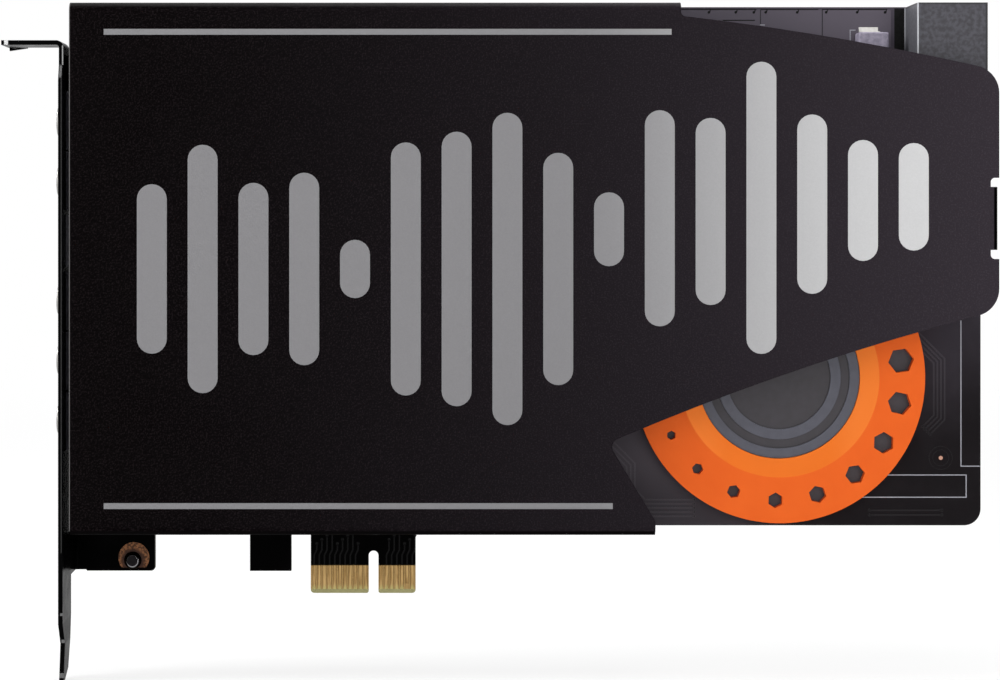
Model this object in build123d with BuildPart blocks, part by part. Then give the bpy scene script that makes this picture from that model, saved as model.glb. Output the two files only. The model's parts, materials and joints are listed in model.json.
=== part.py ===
"""Shielded gaming sound card for a PCI Express x1 slot, in millimetres.

The card stands upright as it does in its slot.  X runs from the slot bracket towards the rear of
the board, Z runs up from the tips of the edge connector, and the component side faces -Y.  The
origin is the centre of the connector's key notch, at the connector's tip, halfway through the board.
"""

import os

from build123d import *

os.makedirs("parts", exist_ok=True)

# Circuit board
pcb_thickness = 1.57
board_bracket_end = -57.2
board_rear_end = 117.5
board_top = 113.45
board_bottom = 13.15
board_corner_radius = 3.2
tab_corner_radius = 0.7
lead_hole_clearance = 0.15
lead_protrusion = 1.3

# Edge connector
key_width = 1.9
key_depth = 8.25
key_mouth_radius = 0.4
contact_pitch = 1.0
contact_width = 0.7
contact_top = 5.4
contact_thickness = 0.05
first_contact = 1.5
contacts_before_key = 11
contacts_after_key = 7
tongue_margin = 0.65
bevel_height = 0.8
bevel_depth = 0.35
presence_contact_shortfall = 1.1

# Board tabs beside the edge connector
hold_tab_left = -23.92
hold_tab_right = -15.92
hold_tab_bottom = 4.33
bracket_tab_right = -42.3
bracket_tab_bottom = 4.38
bracket_tab_cut_x = 1.7
bracket_tab_cut_z = 4.7

# Slot bracket
bracket_outer_x = -58.75
bracket_sheet = 0.86
bracket_width = 18.42
bracket_height = 120.02
bracket_top = 106.0
bracket_reach = 14.3
bracket_bend_radius = 0.5
neck_setback = 0.9
neck_bottom = 98.5
neck_slope = 2.8
tab_reach = 11.7
tab_root_width = 7.2
tab_strip_width = 3.4
tab_strip_length = 9.6
tab_corner_radius_outer = 1.2
lip_drop = 0.5
tongue_width = 10.19
tongue_narrow_width = 6.5
tongue_end_width = 5.2
tongue_tip_width = 1.8
tongue_taper_rise = 10.82
tongue_taper_height = 3.6
tongue_tip_height = 1.7
joggle_offset = 0.45
joggle_rise = 10.72
joggle_height = 3.6
joggle_flare = 0.25
ear_height = 7.0
ear_relief = 0.8
ear_root = 2.0
upper_ear_bottom = 97.2

# Bracket screws
bracket_screw_x = -46.6
lower_bracket_screw_z = 6.4
upper_bracket_screw_z = 100.7
bracket_screw_radius = 1.45
bracket_screw_head_radius = 2.7
bracket_screw_head_height = 1.9
bracket_screw_proud = 0.5
ear_margin = 3.0
screw_clearance = 0.35
thread_clearance = 0.05
recess_width = 0.7
recess_margin = 0.9
recess_depth = 0.9

# Sheet-metal shield
shield_height = 14.3
shield_sheet = 0.8
shield_bend_radius = 0.8
shield_left = -56.7
shield_right = 117.3
shield_top = 113.1
shield_bottom = 13.2
top_flange_end = 57.8
bottom_flange_end = 53.0
flange_gap = 1.4
upper_edge_start = 110.5
upper_edge_middle = (86.0, 106.5)
upper_edge_end = 100.2
notch_foot = 16.0
notch_point = (44.2, 30.6)
lower_edge_middle = (80.0, 44.4)
lower_edge_end = 55.4
shield_corner_radius = 5.2
notch_radius = 1.6
step_radius = 0.9
rear_tab_bottom = 66.7
rear_tab_top = 78.5
rear_tab_relief = 1.7
rear_tab_relief_radius = 0.8
foot_length = 7.0
foot_width = 8.0
foot_hole_inset = 4.2
top_foot_x = -30.0
bottom_foot_x = -34.0

# Shield screws
shield_screw_radius = 1.2
shield_screw_head_radius = 2.25
shield_screw_head_height = 1.6
shield_screw_proud = 0.9

# Trim ring on the board
ring_x = 78.2
ring_z = 41.9
ring_outer_radius = 28.0
ring_dish_radius = 19.2
ring_inner_radius = 15.65
ring_thickness = 1.5
ring_inner_thickness = 0.6
ring_base_thickness = 1.0
ring_base_setback = 0.4
dot_count = 9
dot_sides = 6
dot_pitch_angle = 20.0
dot_first_angle = 208.0
dot_first_radius = 0.9
dot_last_radius = 2.5

# Power inlet
power_x = 109.38
power_pitch = 4.2
power_columns = 3
power_rows = 2
power_wall = 0.3
power_height = 11.1
power_length = 12.8
power_setback = 0.15
power_cavity_web = 0.6
power_cavity_chamfer = 0.8
power_cavity_depth = 9.6
power_pin_size = 1.1
power_pin_hole = 1.65
power_pin_recess = 2.6
power_foot_offset = 2.2
power_pin_bend = 0.9
pin_clearance = 0.05

# Audio jacks and optical output
port_row_gap = 0.7
port_pitch = 11.34
port_gap = 0.34
port_axis_height = 5.6
port_count = 6
optical_port_index = 3
jack_length = 13.0
jack_height = 11.0
jack_edge_chamfer = 0.6
jack_bore_radius = 1.8
jack_bore_depth = 12.0
bushing_radius = 3.0
bushing_proud = 1.3
port_hole_clearance = 0.3
strip_offsets = (4.2, 7.4, 10.6)
strip_sides = (1, -1, 1)
strip_width = 1.5
strip_sheet = 0.3
strip_clearance = 0.1
optical_gap = 1.2
optical_length = 13.5
optical_nose_margin = 0.45
optical_port_wall = 0.8
optical_port_chamfer = 1.6
optical_port_depth = 8.6
optical_cover = 0.4
lens_radius = 1.5
lens_length = 2.4
optical_pin_pitch = 2.54
optical_pin_size = 0.5
optical_pin_inset = 1.6
optical_pin_seat = 1.4

# Chips
chip_edge_chamfer = 0.2
lead_thickness = 0.18
lead_root = 0.3
lead_reach = 1.0
lead_shoulder = 0.6
processor_site = (18.0, 62.0)
processor_size = 12.0
processor_height = 1.2
bridge_site = (-2.0, 27.0)
bridge_size = 8.0
bridge_height = 0.9
converter_site = (-12.0, 62.0)
converter_size = 7.0
converter_height = 0.9
recorder_site = (-13.0, 41.0)
recorder_size = 5.0
recorder_height = 0.8
amplifier_site = (-14.0, 91.0)
amplifier_length = 10.3
amplifier_depth = 7.5
amplifier_height = 2.3
amplifier_pitch = 1.27
amplifier_lead_width = 0.42
amplifier_lead_count = 8
op_amp_x = -36.0
op_amp_length = 4.9
op_amp_depth = 3.9
op_amp_height = 1.5
op_amp_pitch = 1.27
op_amp_lead_width = 0.42
op_amp_lead_count = 4
oscillator_sites = ((3.0, 68.0), (3.0, 56.0))
oscillator_length = 5.0
oscillator_width = 3.2
oscillator_height = 1.2
regulator_sites = ((66.0, 98.0), (66.0, 87.0))
regulator_body = 6.5
regulator_depth = 3.5
regulator_height = 1.6
regulator_tab_width = 3.0
regulator_lead_width = 0.75
regulator_lead_pitch = 2.3
regulator_lead_count = 3
regulator_reach = 1.75

# Coils, electrolytic capacitors and small chip parts
inductor_sites = ((95.75, 105.1), (86.0, 97.5), (95.75, 94.0))
inductor_size = 6.5
inductor_height = 3.4
inductor_corner = 0.9
terminal_width = 3.7
terminal_reach = 1.2
terminal_inset = 1.4
terminal_sheet = 0.25
terminal_rise = 2.2
coupling_capacitor_x = -26.5
coupling_capacitor_width = 5.7
coupling_capacitor_length = 5.0
coupling_capacitor_height = 2.8
reservoir_sites = ((24.0, 98.0), (35.0, 98.0))
reservoir_can_radius = 4.0
reservoir_can_height = 9.0
base_height = 1.4
base_overhang = 0.15
base_chamfer = 1.2
can_edge_chamfer = 0.4
capacitor_lead_width = 0.9
capacitor_lead_reach = 0.8
capacitor_lead_inset = 1.5
chip_part_length = 1.6
chip_part_width = 0.8
ceramic_height = 0.8
resistor_height = 0.5
chip_part_spacing = 2.4
chip_part_gap = 2.4
chip_parts_in_row = 2

# Planes and limits worked out from the sizes above
component_face = Plane.XZ.offset(pcb_thickness / 2)
solder_face = Plane.XZ.offset(-pcb_thickness / 2)
component_y = -pcb_thickness / 2
solder_y = pcb_thickness / 2
trim_margin = 2.0
lead_length = pcb_thickness + lead_protrusion
tongue_left = -(first_contact + (contacts_before_key - 1) * contact_pitch + tongue_margin)
tongue_right = first_contact + (contacts_after_key - 1) * contact_pitch + tongue_margin

bracket_inner_x = bracket_outer_x + bracket_sheet
bracket_mid_x = bracket_outer_x + bracket_sheet / 2
bracket_front_y = component_y - bracket_reach
bracket_back_y = bracket_front_y + bracket_width
bracket_tip = bracket_top - bracket_height
tongue_narrow_top = bracket_tip + tongue_taper_rise
tongue_narrow_bottom = tongue_narrow_top - tongue_taper_height
joggle_top = bracket_tip + joggle_rise
bracket_bend_mid = bracket_bend_radius + bracket_sheet / 2
tab_tip_x = bracket_inner_x - tab_reach
tab_mid_z = bracket_top - bracket_sheet / 2
tab_front_y = bracket_front_y + neck_setback
tab_strip_end_y = tab_front_y + tab_strip_length
ear_mid_y = solder_y + bracket_sheet / 2
ear_end_x = bracket_screw_x + ear_margin
lower_ear_bottom = bracket_tab_bottom
bracket_screw_sites = [
    (bracket_screw_x, lower_bracket_screw_z),
    (bracket_screw_x, upper_bracket_screw_z),
]

shield_mid_y = component_y - shield_height + shield_sheet / 2
shield_bend_mid = shield_bend_radius + shield_sheet / 2
shield_bend_outer = shield_bend_radius + shield_sheet
flange_edge_y = component_y - flange_gap
foot_mid_y = component_y - shield_sheet / 2
top_flange_mid_z = shield_top - shield_sheet / 2
bottom_flange_mid_z = shield_bottom + shield_sheet / 2
rear_tab_mid_x = shield_right - shield_sheet / 2
rear_foot_site = (shield_right - foot_hole_inset, (rear_tab_bottom + rear_tab_top) / 2)
shield_screw_sites = [
    (top_foot_x, shield_top - foot_hole_inset),
    (bottom_foot_x, shield_bottom + foot_hole_inset),
    rear_foot_site,
]

ring_seat_y = component_y - ring_base_thickness
dot_circle_radius = (ring_dish_radius + ring_outer_radius) / 2

power_width = power_columns * power_pitch + 2 * power_wall
power_left = power_x - power_width / 2
power_right = power_x + power_width / 2
power_top = board_top - power_setback
power_bottom = power_top - power_length
power_cavity = power_pitch - power_cavity_web
power_pin_sites = [
    (
        power_x + power_pitch * (column - (power_columns - 1) / 2),
        power_height - power_wall - power_pitch * (row + 0.5),
        power_bottom - power_foot_offset - power_pitch * (power_rows - 1 - row),
    )
    for row in range(power_rows)
    for column in range(power_columns)
]

port_width = port_pitch - port_gap
port_last_z = upper_ear_bottom - port_row_gap - port_width / 2
port_z = [port_last_z - port_pitch * (port_count - 1 - index) for index in range(port_count)]
jack_z = [z for index, z in enumerate(port_z) if index != optical_port_index]
optical_z = port_z[optical_port_index]
port_axis_y = component_y - port_axis_height
strip_leg_offset = port_width / 2 - strip_sheet / 2 - strip_clearance / 2
jack_leg_sites = [
    (bracket_inner_x + offset, z + side * strip_leg_offset)
    for z in jack_z
    for offset, side in zip(strip_offsets, strip_sides)
]
optical_width = port_width - optical_gap
optical_nose = optical_width - 2 * optical_nose_margin
optical_port = optical_nose - 2 * optical_port_wall
optical_height = port_axis_height + optical_nose / 2 + optical_cover
optical_floor_x = bracket_outer_x + optical_port_depth
optical_pin_x = bracket_inner_x + optical_length - optical_pin_inset
optical_pin_sites = [(optical_pin_x, optical_z + optical_pin_pitch * step) for step in (-1, 0, 1)]

op_amp_sites = [(op_amp_x, z) for z in jack_z]
coupling_sites = [(coupling_capacitor_x, z) for z in jack_z]
row_middle = (chip_parts_in_row - 1) / 2
row_offsets = [chip_part_spacing * (step - row_middle) for step in range(chip_parts_in_row)]
resistor_sites = [(op_amp_x + offset, z + port_pitch / 2) for z in jack_z for offset in row_offsets]
ceramic_sites = [
    (site[0] + offset, site[1] + side * (depth / 2 + chip_part_gap))
    for site, depth in (
        (processor_site, processor_size),
        (bridge_site, bridge_size),
        (converter_site, converter_size),
    )
    for side in (-1, 1)
    for offset in row_offsets
]


def save(builder, node):
    """Label a finished piece and write it under its node's name."""
    builder.part.label = node
    export_step(builder.part, f"parts/{node}.step")


def patch(x_from, x_to, y_from, y_to, mode=Mode.ADD):
    """Draw the rectangle between two corners of the current sketch."""
    with Locations(((x_from + x_to) / 2, (y_from + y_to) / 2)):
        Rectangle(abs(x_to - x_from), abs(y_to - y_from), mode=mode)


def board_tab(x_from, x_to, z_from):
    """Draw a board tab with rounded lower corners, run into the board's lower edge."""
    z_to = board_bottom + tab_corner_radius
    with Locations(((x_from + x_to) / 2, (z_from + z_to) / 2)):
        RectangleRounded(x_to - x_from, z_to - z_from, tab_corner_radius)


def screw_group(sites, radius, head_radius, head_height, seat_y, tip_y):
    """Pan-head screws with cross recesses, driven from the solder side at each site."""
    seat = Plane.XZ.offset(-seat_y)
    with BuildPart() as screws:
        with BuildSketch(seat):
            with Locations(sites):
                Circle(head_radius)
        extrude(amount=-head_height)
        with BuildSketch(seat):
            with Locations(sites):
                Circle(radius)
        extrude(amount=seat_y - tip_y)
        with BuildSketch(seat.offset(-head_height)):
            with Locations(sites):
                Rectangle(2 * (head_radius - recess_margin), recess_width)
                Rectangle(recess_width, 2 * (head_radius - recess_margin))
        extrude(amount=recess_depth, mode=Mode.SUBTRACT)
    return screws


def flat_chip(site, size, height):
    """A square chip with its contacts underneath."""
    with BuildPart() as chip:
        with BuildSketch(component_face):
            with Locations(site):
                Rectangle(size, size)
        extrude(amount=height)
        chamfer(chip.faces().sort_by(Axis.Y)[0].edges(), chip_edge_chamfer)
    return chip


def lead_profile(edge_z, outward):
    """Draw the side of one bent lead that leaves a chip's edge and comes down to its foot on the board."""
    points = (
        (-lead_root, 0),
        (lead_reach, 0),
        (lead_reach, lead_thickness),
        (0, lead_shoulder),
        (-lead_root, lead_shoulder),
    )
    Polygon(*[(component_y - rise, edge_z + outward * run) for run, rise in points], align=None)


def leaded_chips(sites, length, depth, height, pitch, lead_width, lead_count):
    """Moulded chips with a row of bent leads along each of their two long sides."""
    with BuildPart() as chips:
        for x, z in sites:
            for index in range(lead_count):
                lead_x = x + pitch * (index - (lead_count - 1) / 2) - lead_width / 2
                with BuildSketch(Plane.YZ.offset(lead_x)):
                    for outward in (-1, 1):
                        lead_profile(z + outward * depth / 2, outward)
                extrude(amount=lead_width)
        with BuildSketch(component_face):
            with Locations(sites):
                Rectangle(length, depth)
        extrude(amount=height)
        chamfer(chips.faces().group_by(Axis.Y)[0].edges(), chip_edge_chamfer)
    return chips


def chip_parts(sites, width, length, height):
    """Two-terminal parts lying flat on the board."""
    with BuildPart() as parts:
        with BuildSketch(component_face):
            with Locations(sites):
                Rectangle(width, length)
        extrude(amount=height)
    return parts


def save_jack(number, z):
    """One 3.5 mm jack: moulded housing, metal bushing through the bracket, and three contact strips."""
    port_plane = Plane.YZ.offset(bracket_inner_x)
    finger_bottom = port_axis_height - strip_sheet / 2
    with BuildPart() as housing:
        with BuildSketch(component_face):
            patch(bracket_inner_x, bracket_inner_x + jack_length, z - port_width / 2, z + port_width / 2)
        extrude(amount=jack_height)
        chamfer(housing.faces().sort_by(Axis.Y)[0].edges(), jack_edge_chamfer)
        with BuildSketch(port_plane):
            with Locations((port_axis_y, z)):
                Circle(jack_bore_radius)
        extrude(amount=jack_bore_depth, mode=Mode.SUBTRACT)
        for offset, side in zip(strip_offsets, strip_sides):
            x = bracket_inner_x + offset
            half = strip_width / 2 + strip_clearance
            face_z = z + side * port_width / 2
            groove_z = face_z - side * (strip_sheet + strip_clearance)
            with BuildSketch(component_face):
                patch(x - half, x + half, groove_z, face_z)
            extrude(amount=port_axis_height + strip_sheet / 2 + strip_clearance, mode=Mode.SUBTRACT)
            with BuildSketch(component_face.offset(finger_bottom - strip_clearance)):
                patch(x - half, x + half, z, face_z)
            extrude(amount=strip_sheet + 2 * strip_clearance, mode=Mode.SUBTRACT)
    save(housing, f"jack_{number}_housing")

    with BuildPart() as bushing:
        with BuildSketch(port_plane):
            with Locations((port_axis_y, z)):
                Circle(bushing_radius)
                Circle(jack_bore_radius, mode=Mode.SUBTRACT)
        extrude(amount=-(bracket_sheet + bushing_proud))
    save(bushing, f"jack_{number}_bushing")

    with BuildPart() as strips:
        for offset, side in zip(strip_offsets, strip_sides):
            x = bracket_inner_x + offset
            leg_z = z + side * strip_leg_offset
            with BuildSketch(component_face.offset(-lead_length)):
                with Locations((x, leg_z)):
                    Rectangle(strip_width, strip_sheet)
            extrude(amount=lead_length + port_axis_height + strip_sheet / 2)
            with BuildSketch(component_face.offset(finger_bottom)):
                patch(
                    x - strip_width / 2,
                    x + strip_width / 2,
                    z + side * (jack_bore_radius + strip_clearance),
                    leg_z,
                )
            extrude(amount=strip_sheet)
    save(strips, f"jack_{number}_contacts")


# Circuit board with its connector tongue, tabs, key notch and holes
with BuildPart() as pcb:
    with BuildSketch(solder_face) as outline:
        patch(board_bracket_end, board_rear_end, board_bottom, board_top)
        fillet(outline.vertices().group_by(Axis.X)[-1], board_corner_radius)
        board_tab(tongue_left, tongue_right, 0)
        patch(hold_tab_left, hold_tab_right, hold_tab_bottom, board_bottom + trim_margin)
        board_tab(board_bracket_end, bracket_tab_right, bracket_tab_bottom)
        patch(
            board_bracket_end,
            board_bracket_end + tab_corner_radius,
            bracket_tab_bottom,
            board_bottom + trim_margin,
        )
        Polygon(
            (board_bracket_end, bracket_tab_bottom),
            (board_bracket_end + bracket_tab_cut_x, bracket_tab_bottom),
            (board_bracket_end, bracket_tab_bottom + bracket_tab_cut_z),
            align=None,
            mode=Mode.SUBTRACT,
        )
        patch(-key_width / 2, key_width / 2, -trim_margin, key_depth - key_width / 2, Mode.SUBTRACT)
        with Locations((0, key_depth - key_width / 2)):
            Circle(key_width / 2, mode=Mode.SUBTRACT)
        fillet(outline.vertices().sort_by_distance((0, 0, 0))[:2], key_mouth_radius)
        with Locations(bracket_screw_sites):
            Circle(bracket_screw_radius + screw_clearance, mode=Mode.SUBTRACT)
        with Locations(shield_screw_sites):
            Circle(shield_screw_radius + screw_clearance, mode=Mode.SUBTRACT)
        with Locations([(x, foot_z) for x, height, foot_z in power_pin_sites]):
            Rectangle(power_pin_hole, power_pin_hole, mode=Mode.SUBTRACT)
        with Locations(jack_leg_sites):
            Rectangle(
                strip_width + 2 * lead_hole_clearance,
                strip_sheet + 2 * lead_hole_clearance,
                mode=Mode.SUBTRACT,
            )
        with Locations(optical_pin_sites):
            Rectangle(
                optical_pin_size + 2 * lead_hole_clearance,
                optical_pin_size + 2 * lead_hole_clearance,
                mode=Mode.SUBTRACT,
            )
    extrude(amount=pcb_thickness)
    with BuildSketch(Plane.YZ.offset(tongue_left - trim_margin)):
        for face_y, inward in ((component_y, 1), (solder_y, -1)):
            Polygon(
                (face_y, 0),
                (face_y + inward * bevel_depth, 0),
                (face_y, bevel_height),
                align=None,
            )
    extrude(amount=tongue_right - tongue_left + 2 * trim_margin, mode=Mode.SUBTRACT)
save(pcb, "pcb")

# Gold contacts on both faces of the tongue, with the two shorter presence contacts
with BuildPart() as edge_contacts:
    before_key = [-(first_contact + contact_pitch * step) for step in range(contacts_before_key)]
    after_key = [first_contact + contact_pitch * step for step in range(contacts_after_key)]
    presence_on_solder_side = before_key[-1]
    presence_on_component_side = after_key[-2]
    for face, outward, presence_x in (
        (component_face, contact_thickness, presence_on_component_side),
        (solder_face, -contact_thickness, presence_on_solder_side),
    ):
        with BuildSketch(face):
            for x in before_key + after_key:
                shortfall = presence_contact_shortfall if x == presence_x else 0
                patch(x - contact_width / 2, x + contact_width / 2, bevel_height + shortfall, contact_top)
        extrude(amount=outward)
save(edge_contacts, "edge_contacts")

# Slot bracket: one folded sheet with a screw tab on top, two ears behind the board and a lower tongue
with BuildPart() as io_bracket:
    with BuildSketch(Plane.XZ.offset(-bracket_back_y)):
        with BuildLine():
            FilletPolyline(
                (tab_tip_x, tab_mid_z),
                (bracket_mid_x, tab_mid_z),
                (bracket_mid_x, joggle_top),
                (bracket_mid_x + joggle_offset, joggle_top - joggle_height),
                (bracket_mid_x + joggle_offset - joggle_flare, bracket_tip),
                radius=bracket_bend_mid,
            )
        trace(line_width=bracket_sheet)
    extrude(amount=bracket_width)
    tab_front_corner = io_bracket.edges().filter_by(Axis.Z).group_by(Axis.X)[0].sort_by(Axis.Y)[0]
    fillet(tab_front_corner, tab_corner_radius_outer)
    with BuildSketch(Plane.YZ.offset(tab_tip_x - trim_margin)):
        Polygon(
            (bracket_front_y - trim_margin, neck_bottom),
            (bracket_front_y, neck_bottom),
            (bracket_front_y + neck_setback, neck_bottom + neck_slope),
            (bracket_front_y + neck_setback, bracket_top + trim_margin),
            (bracket_front_y - trim_margin, bracket_top + trim_margin),
            align=None,
        )
        Polygon(
            (bracket_back_y + trim_margin, lower_ear_bottom),
            (bracket_front_y + tongue_width, lower_ear_bottom),
            (bracket_front_y + tongue_width, tongue_narrow_top),
            (bracket_front_y + tongue_narrow_width, tongue_narrow_bottom),
            (bracket_front_y + tongue_end_width, bracket_tip + tongue_tip_height),
            (bracket_front_y + tongue_tip_width, bracket_tip),
            (bracket_front_y + tongue_tip_width, bracket_tip - trim_margin),
            (bracket_back_y + trim_margin, bracket_tip - trim_margin),
            align=None,
        )
        for ear_bottom in (lower_ear_bottom, upper_ear_bottom):
            patch(
                ear_mid_y - bracket_bend_mid,
                bracket_back_y + trim_margin,
                ear_bottom - ear_relief,
                ear_bottom + ear_height + ear_relief,
            )
        with Locations([(port_axis_y, z) for z in jack_z]):
            Circle(bushing_radius + port_hole_clearance)
        with Locations((port_axis_y, optical_z)):
            Rectangle(optical_nose + 2 * port_hole_clearance, optical_nose + 2 * port_hole_clearance)
    extrude(amount=tab_reach + 2 * trim_margin, mode=Mode.SUBTRACT)
    with BuildSketch(Plane.XY.offset(bracket_top + trim_margin)):
        Polygon(
            (tab_tip_x - trim_margin, tab_strip_end_y),
            (tab_tip_x + tab_strip_width, tab_strip_end_y),
            (tab_tip_x + tab_strip_width, tab_front_y + tab_root_width),
            (bracket_inner_x + trim_margin, tab_front_y + tab_root_width),
            (bracket_inner_x + trim_margin, bracket_back_y + trim_margin),
            (tab_tip_x - trim_margin, bracket_back_y + trim_margin),
            align=None,
        )
    extrude(amount=-(trim_margin + bracket_sheet + bracket_bend_radius), mode=Mode.SUBTRACT)
    with BuildSketch(Plane.XZ.offset(-tab_strip_end_y)):
        Polygon(
            (tab_tip_x, tab_mid_z),
            (tab_tip_x, bracket_top - bracket_sheet - lip_drop),
            (tab_tip_x + tab_strip_width, bracket_top - bracket_sheet),
            (tab_tip_x + tab_strip_width, tab_mid_z),
            align=None,
        )
    extrude(amount=bracket_sheet)
    for ear_bottom in (lower_ear_bottom, upper_ear_bottom):
        with BuildSketch(Plane.XY.offset(ear_bottom)):
            with BuildLine():
                FilletPolyline(
                    (bracket_mid_x, ear_mid_y - ear_root),
                    (bracket_mid_x, ear_mid_y),
                    (ear_end_x, ear_mid_y),
                    radius=bracket_bend_mid,
                )
            trace(line_width=bracket_sheet)
        extrude(amount=ear_height)
    with BuildSketch(solder_face):
        with Locations(bracket_screw_sites):
            Circle(bracket_screw_radius + thread_clearance)
    extrude(amount=-bracket_sheet, mode=Mode.SUBTRACT)
save(io_bracket, "io_bracket")

bracket_screws = screw_group(
    bracket_screw_sites,
    bracket_screw_radius,
    bracket_screw_head_radius,
    bracket_screw_head_height,
    solder_y + bracket_sheet,
    component_y - bracket_screw_proud,
)
save(bracket_screws, "bracket_screws")

# Shield: one folded sheet trimmed to its outline, with a bent rear tab and three feet on the board
with BuildPart() as emi_shield:
    with BuildSketch(Plane.YZ.offset(shield_left)):
        with BuildLine():
            FilletPolyline(
                (flange_edge_y, bottom_flange_mid_z),
                (shield_mid_y, bottom_flange_mid_z),
                (shield_mid_y, top_flange_mid_z),
                (flange_edge_y, top_flange_mid_z),
                radius=shield_bend_mid,
            )
        trace(line_width=shield_sheet)
    extrude(amount=shield_right - shield_left)
    with BuildSketch(component_face) as blank:
        with BuildLine():
            Polyline(
                (top_flange_end, upper_edge_start),
                (top_flange_end, shield_top + trim_margin),
                (shield_left - trim_margin, shield_top + trim_margin),
                (shield_left - trim_margin, shield_bottom - trim_margin),
                (bottom_flange_end, shield_bottom - trim_margin),
                (bottom_flange_end, notch_foot),
                notch_point,
            )
            ThreePointArc(notch_point, lower_edge_middle, (shield_right, lower_edge_end))
            Line((shield_right, lower_edge_end), (shield_right, upper_edge_end))
            ThreePointArc(
                (shield_right, upper_edge_end),
                upper_edge_middle,
                (top_flange_end, upper_edge_start),
            )
        make_face()
        fillet(blank.vertices().group_by(Axis.X)[-1], shield_corner_radius)
        fillet(blank.vertices().sort_by_distance((*notch_point, 0))[0], notch_radius)
        fillet(blank.vertices().sort_by_distance((top_flange_end, upper_edge_start, 0))[0], step_radius)
        relief_x = shield_right - shield_bend_outer
        patch(
            relief_x,
            shield_right + trim_margin,
            rear_tab_bottom - rear_tab_relief,
            rear_tab_top + rear_tab_relief,
            Mode.SUBTRACT,
        )
        rear_tab_root = (relief_x, (rear_tab_bottom + rear_tab_top) / 2, 0)
        fillet(blank.vertices().sort_by_distance(rear_tab_root)[:2], rear_tab_relief_radius)
    extrude(amount=shield_height + trim_margin, mode=Mode.INTERSECT)
    with BuildSketch(Plane.XY.offset(rear_tab_bottom)):
        with BuildLine():
            FilletPolyline(
                (relief_x - shield_sheet, shield_mid_y),
                (rear_tab_mid_x, shield_mid_y),
                (rear_tab_mid_x, foot_mid_y),
                (shield_right - foot_length, foot_mid_y),
                radius=shield_bend_mid,
            )
        trace(line_width=shield_sheet)
    extrude(amount=rear_tab_top - rear_tab_bottom)
    for x, flange_z, inward in (
        (top_foot_x, top_flange_mid_z, -1),
        (bottom_foot_x, bottom_flange_mid_z, 1),
    ):
        with BuildSketch(Plane.YZ.offset(x - foot_width / 2)):
            with BuildLine():
                FilletPolyline(
                    (flange_edge_y - shield_bend_outer, flange_z),
                    (foot_mid_y, flange_z),
                    (foot_mid_y, flange_z + inward * (foot_length - shield_sheet / 2)),
                    radius=shield_bend_mid,
                )
            trace(line_width=shield_sheet)
        extrude(amount=foot_width)
    with BuildSketch(component_face):
        with Locations(shield_screw_sites):
            Circle(shield_screw_radius + thread_clearance)
    extrude(amount=shield_sheet, mode=Mode.SUBTRACT)
save(emi_shield, "emi_shield")

shield_screws = screw_group(
    shield_screw_sites,
    shield_screw_radius,
    shield_screw_head_radius,
    shield_screw_head_height,
    solder_y,
    component_y - shield_sheet - shield_screw_proud,
)
save(shield_screws, "shield_screws")

# Smoked base disc that carries the trim ring
with BuildPart() as ring_base:
    with BuildSketch(component_face):
        with Locations((ring_x, ring_z)):
            Circle(ring_outer_radius - ring_base_setback)
    extrude(amount=ring_base_thickness)
save(ring_base, "ring_base")

# Orange trim ring: dished towards its centre and pierced by a scale of growing six-sided holes
with BuildPart() as trim_ring:
    with BuildSketch(Plane.YZ.offset(ring_x)):
        Polygon(
            (ring_seat_y, ring_z + ring_inner_radius),
            (ring_seat_y, ring_z + ring_outer_radius),
            (ring_seat_y - ring_thickness, ring_z + ring_outer_radius),
            (ring_seat_y - ring_thickness, ring_z + ring_dish_radius),
            (ring_seat_y - ring_inner_thickness, ring_z + ring_inner_radius),
            align=None,
        )
    revolve(axis=Axis((ring_x, 0, ring_z), (0, 1, 0)))
    with BuildSketch(component_face.offset(ring_base_thickness)):
        with Locations((ring_x, ring_z)):
            for index in range(dot_count):
                share = index / (dot_count - 1)
                with PolarLocations(dot_circle_radius, 1, dot_first_angle + dot_pitch_angle * index):
                    RegularPolygon(dot_first_radius + share * (dot_last_radius - dot_first_radius), dot_sides)
    extrude(amount=ring_thickness, mode=Mode.SUBTRACT)
save(trim_ring, "trim_ring")

# Power inlet: moulded housing with a keyed cavity for each of its bent pins
with BuildPart() as power_housing:
    with BuildSketch(component_face):
        patch(power_left, power_right, power_bottom, power_top)
    extrude(amount=power_height)
    with BuildSketch(Plane.XY.offset(power_top)):
        for index, (x, height, foot_z) in enumerate(power_pin_sites):
            half = power_cavity / 2
            clipped = half - power_cavity_chamfer * (index % 2)
            with Locations((x, component_y - height)):
                Polygon(
                    (-half, -half),
                    (half, -half),
                    (half, clipped),
                    (clipped, half),
                    (-clipped, half),
                    (-half, clipped),
                    align=None,
                )
    extrude(amount=-power_cavity_depth, mode=Mode.SUBTRACT)
    with BuildSketch(Plane.XY.offset(power_top)):
        with Locations([(x, component_y - height) for x, height, foot_z in power_pin_sites]):
            Rectangle(power_pin_size + 2 * pin_clearance, power_pin_size + 2 * pin_clearance)
    extrude(amount=-power_length, mode=Mode.SUBTRACT)
save(power_housing, "power_inlet_housing")

with BuildPart() as power_pins:
    half = power_pin_size / 2
    for x, height, foot_z in power_pin_sites:
        pin_y = component_y - height
        with BuildSketch(Plane.YZ.offset(x - half)):
            Polygon(
                (pin_y - half, power_top - power_pin_recess),
                (pin_y + half, power_top - power_pin_recess),
                (pin_y + half, foot_z + half),
                (solder_y + lead_protrusion, foot_z + half),
                (solder_y + lead_protrusion, foot_z - half),
                (pin_y - half + power_pin_bend, foot_z - half),
                (pin_y - half, foot_z - half + power_pin_bend),
                align=None,
            )
        extrude(amount=power_pin_size)
save(power_pins, "power_inlet_pins")

for number, z in enumerate(jack_z, start=1):
    save_jack(number, z)

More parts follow.
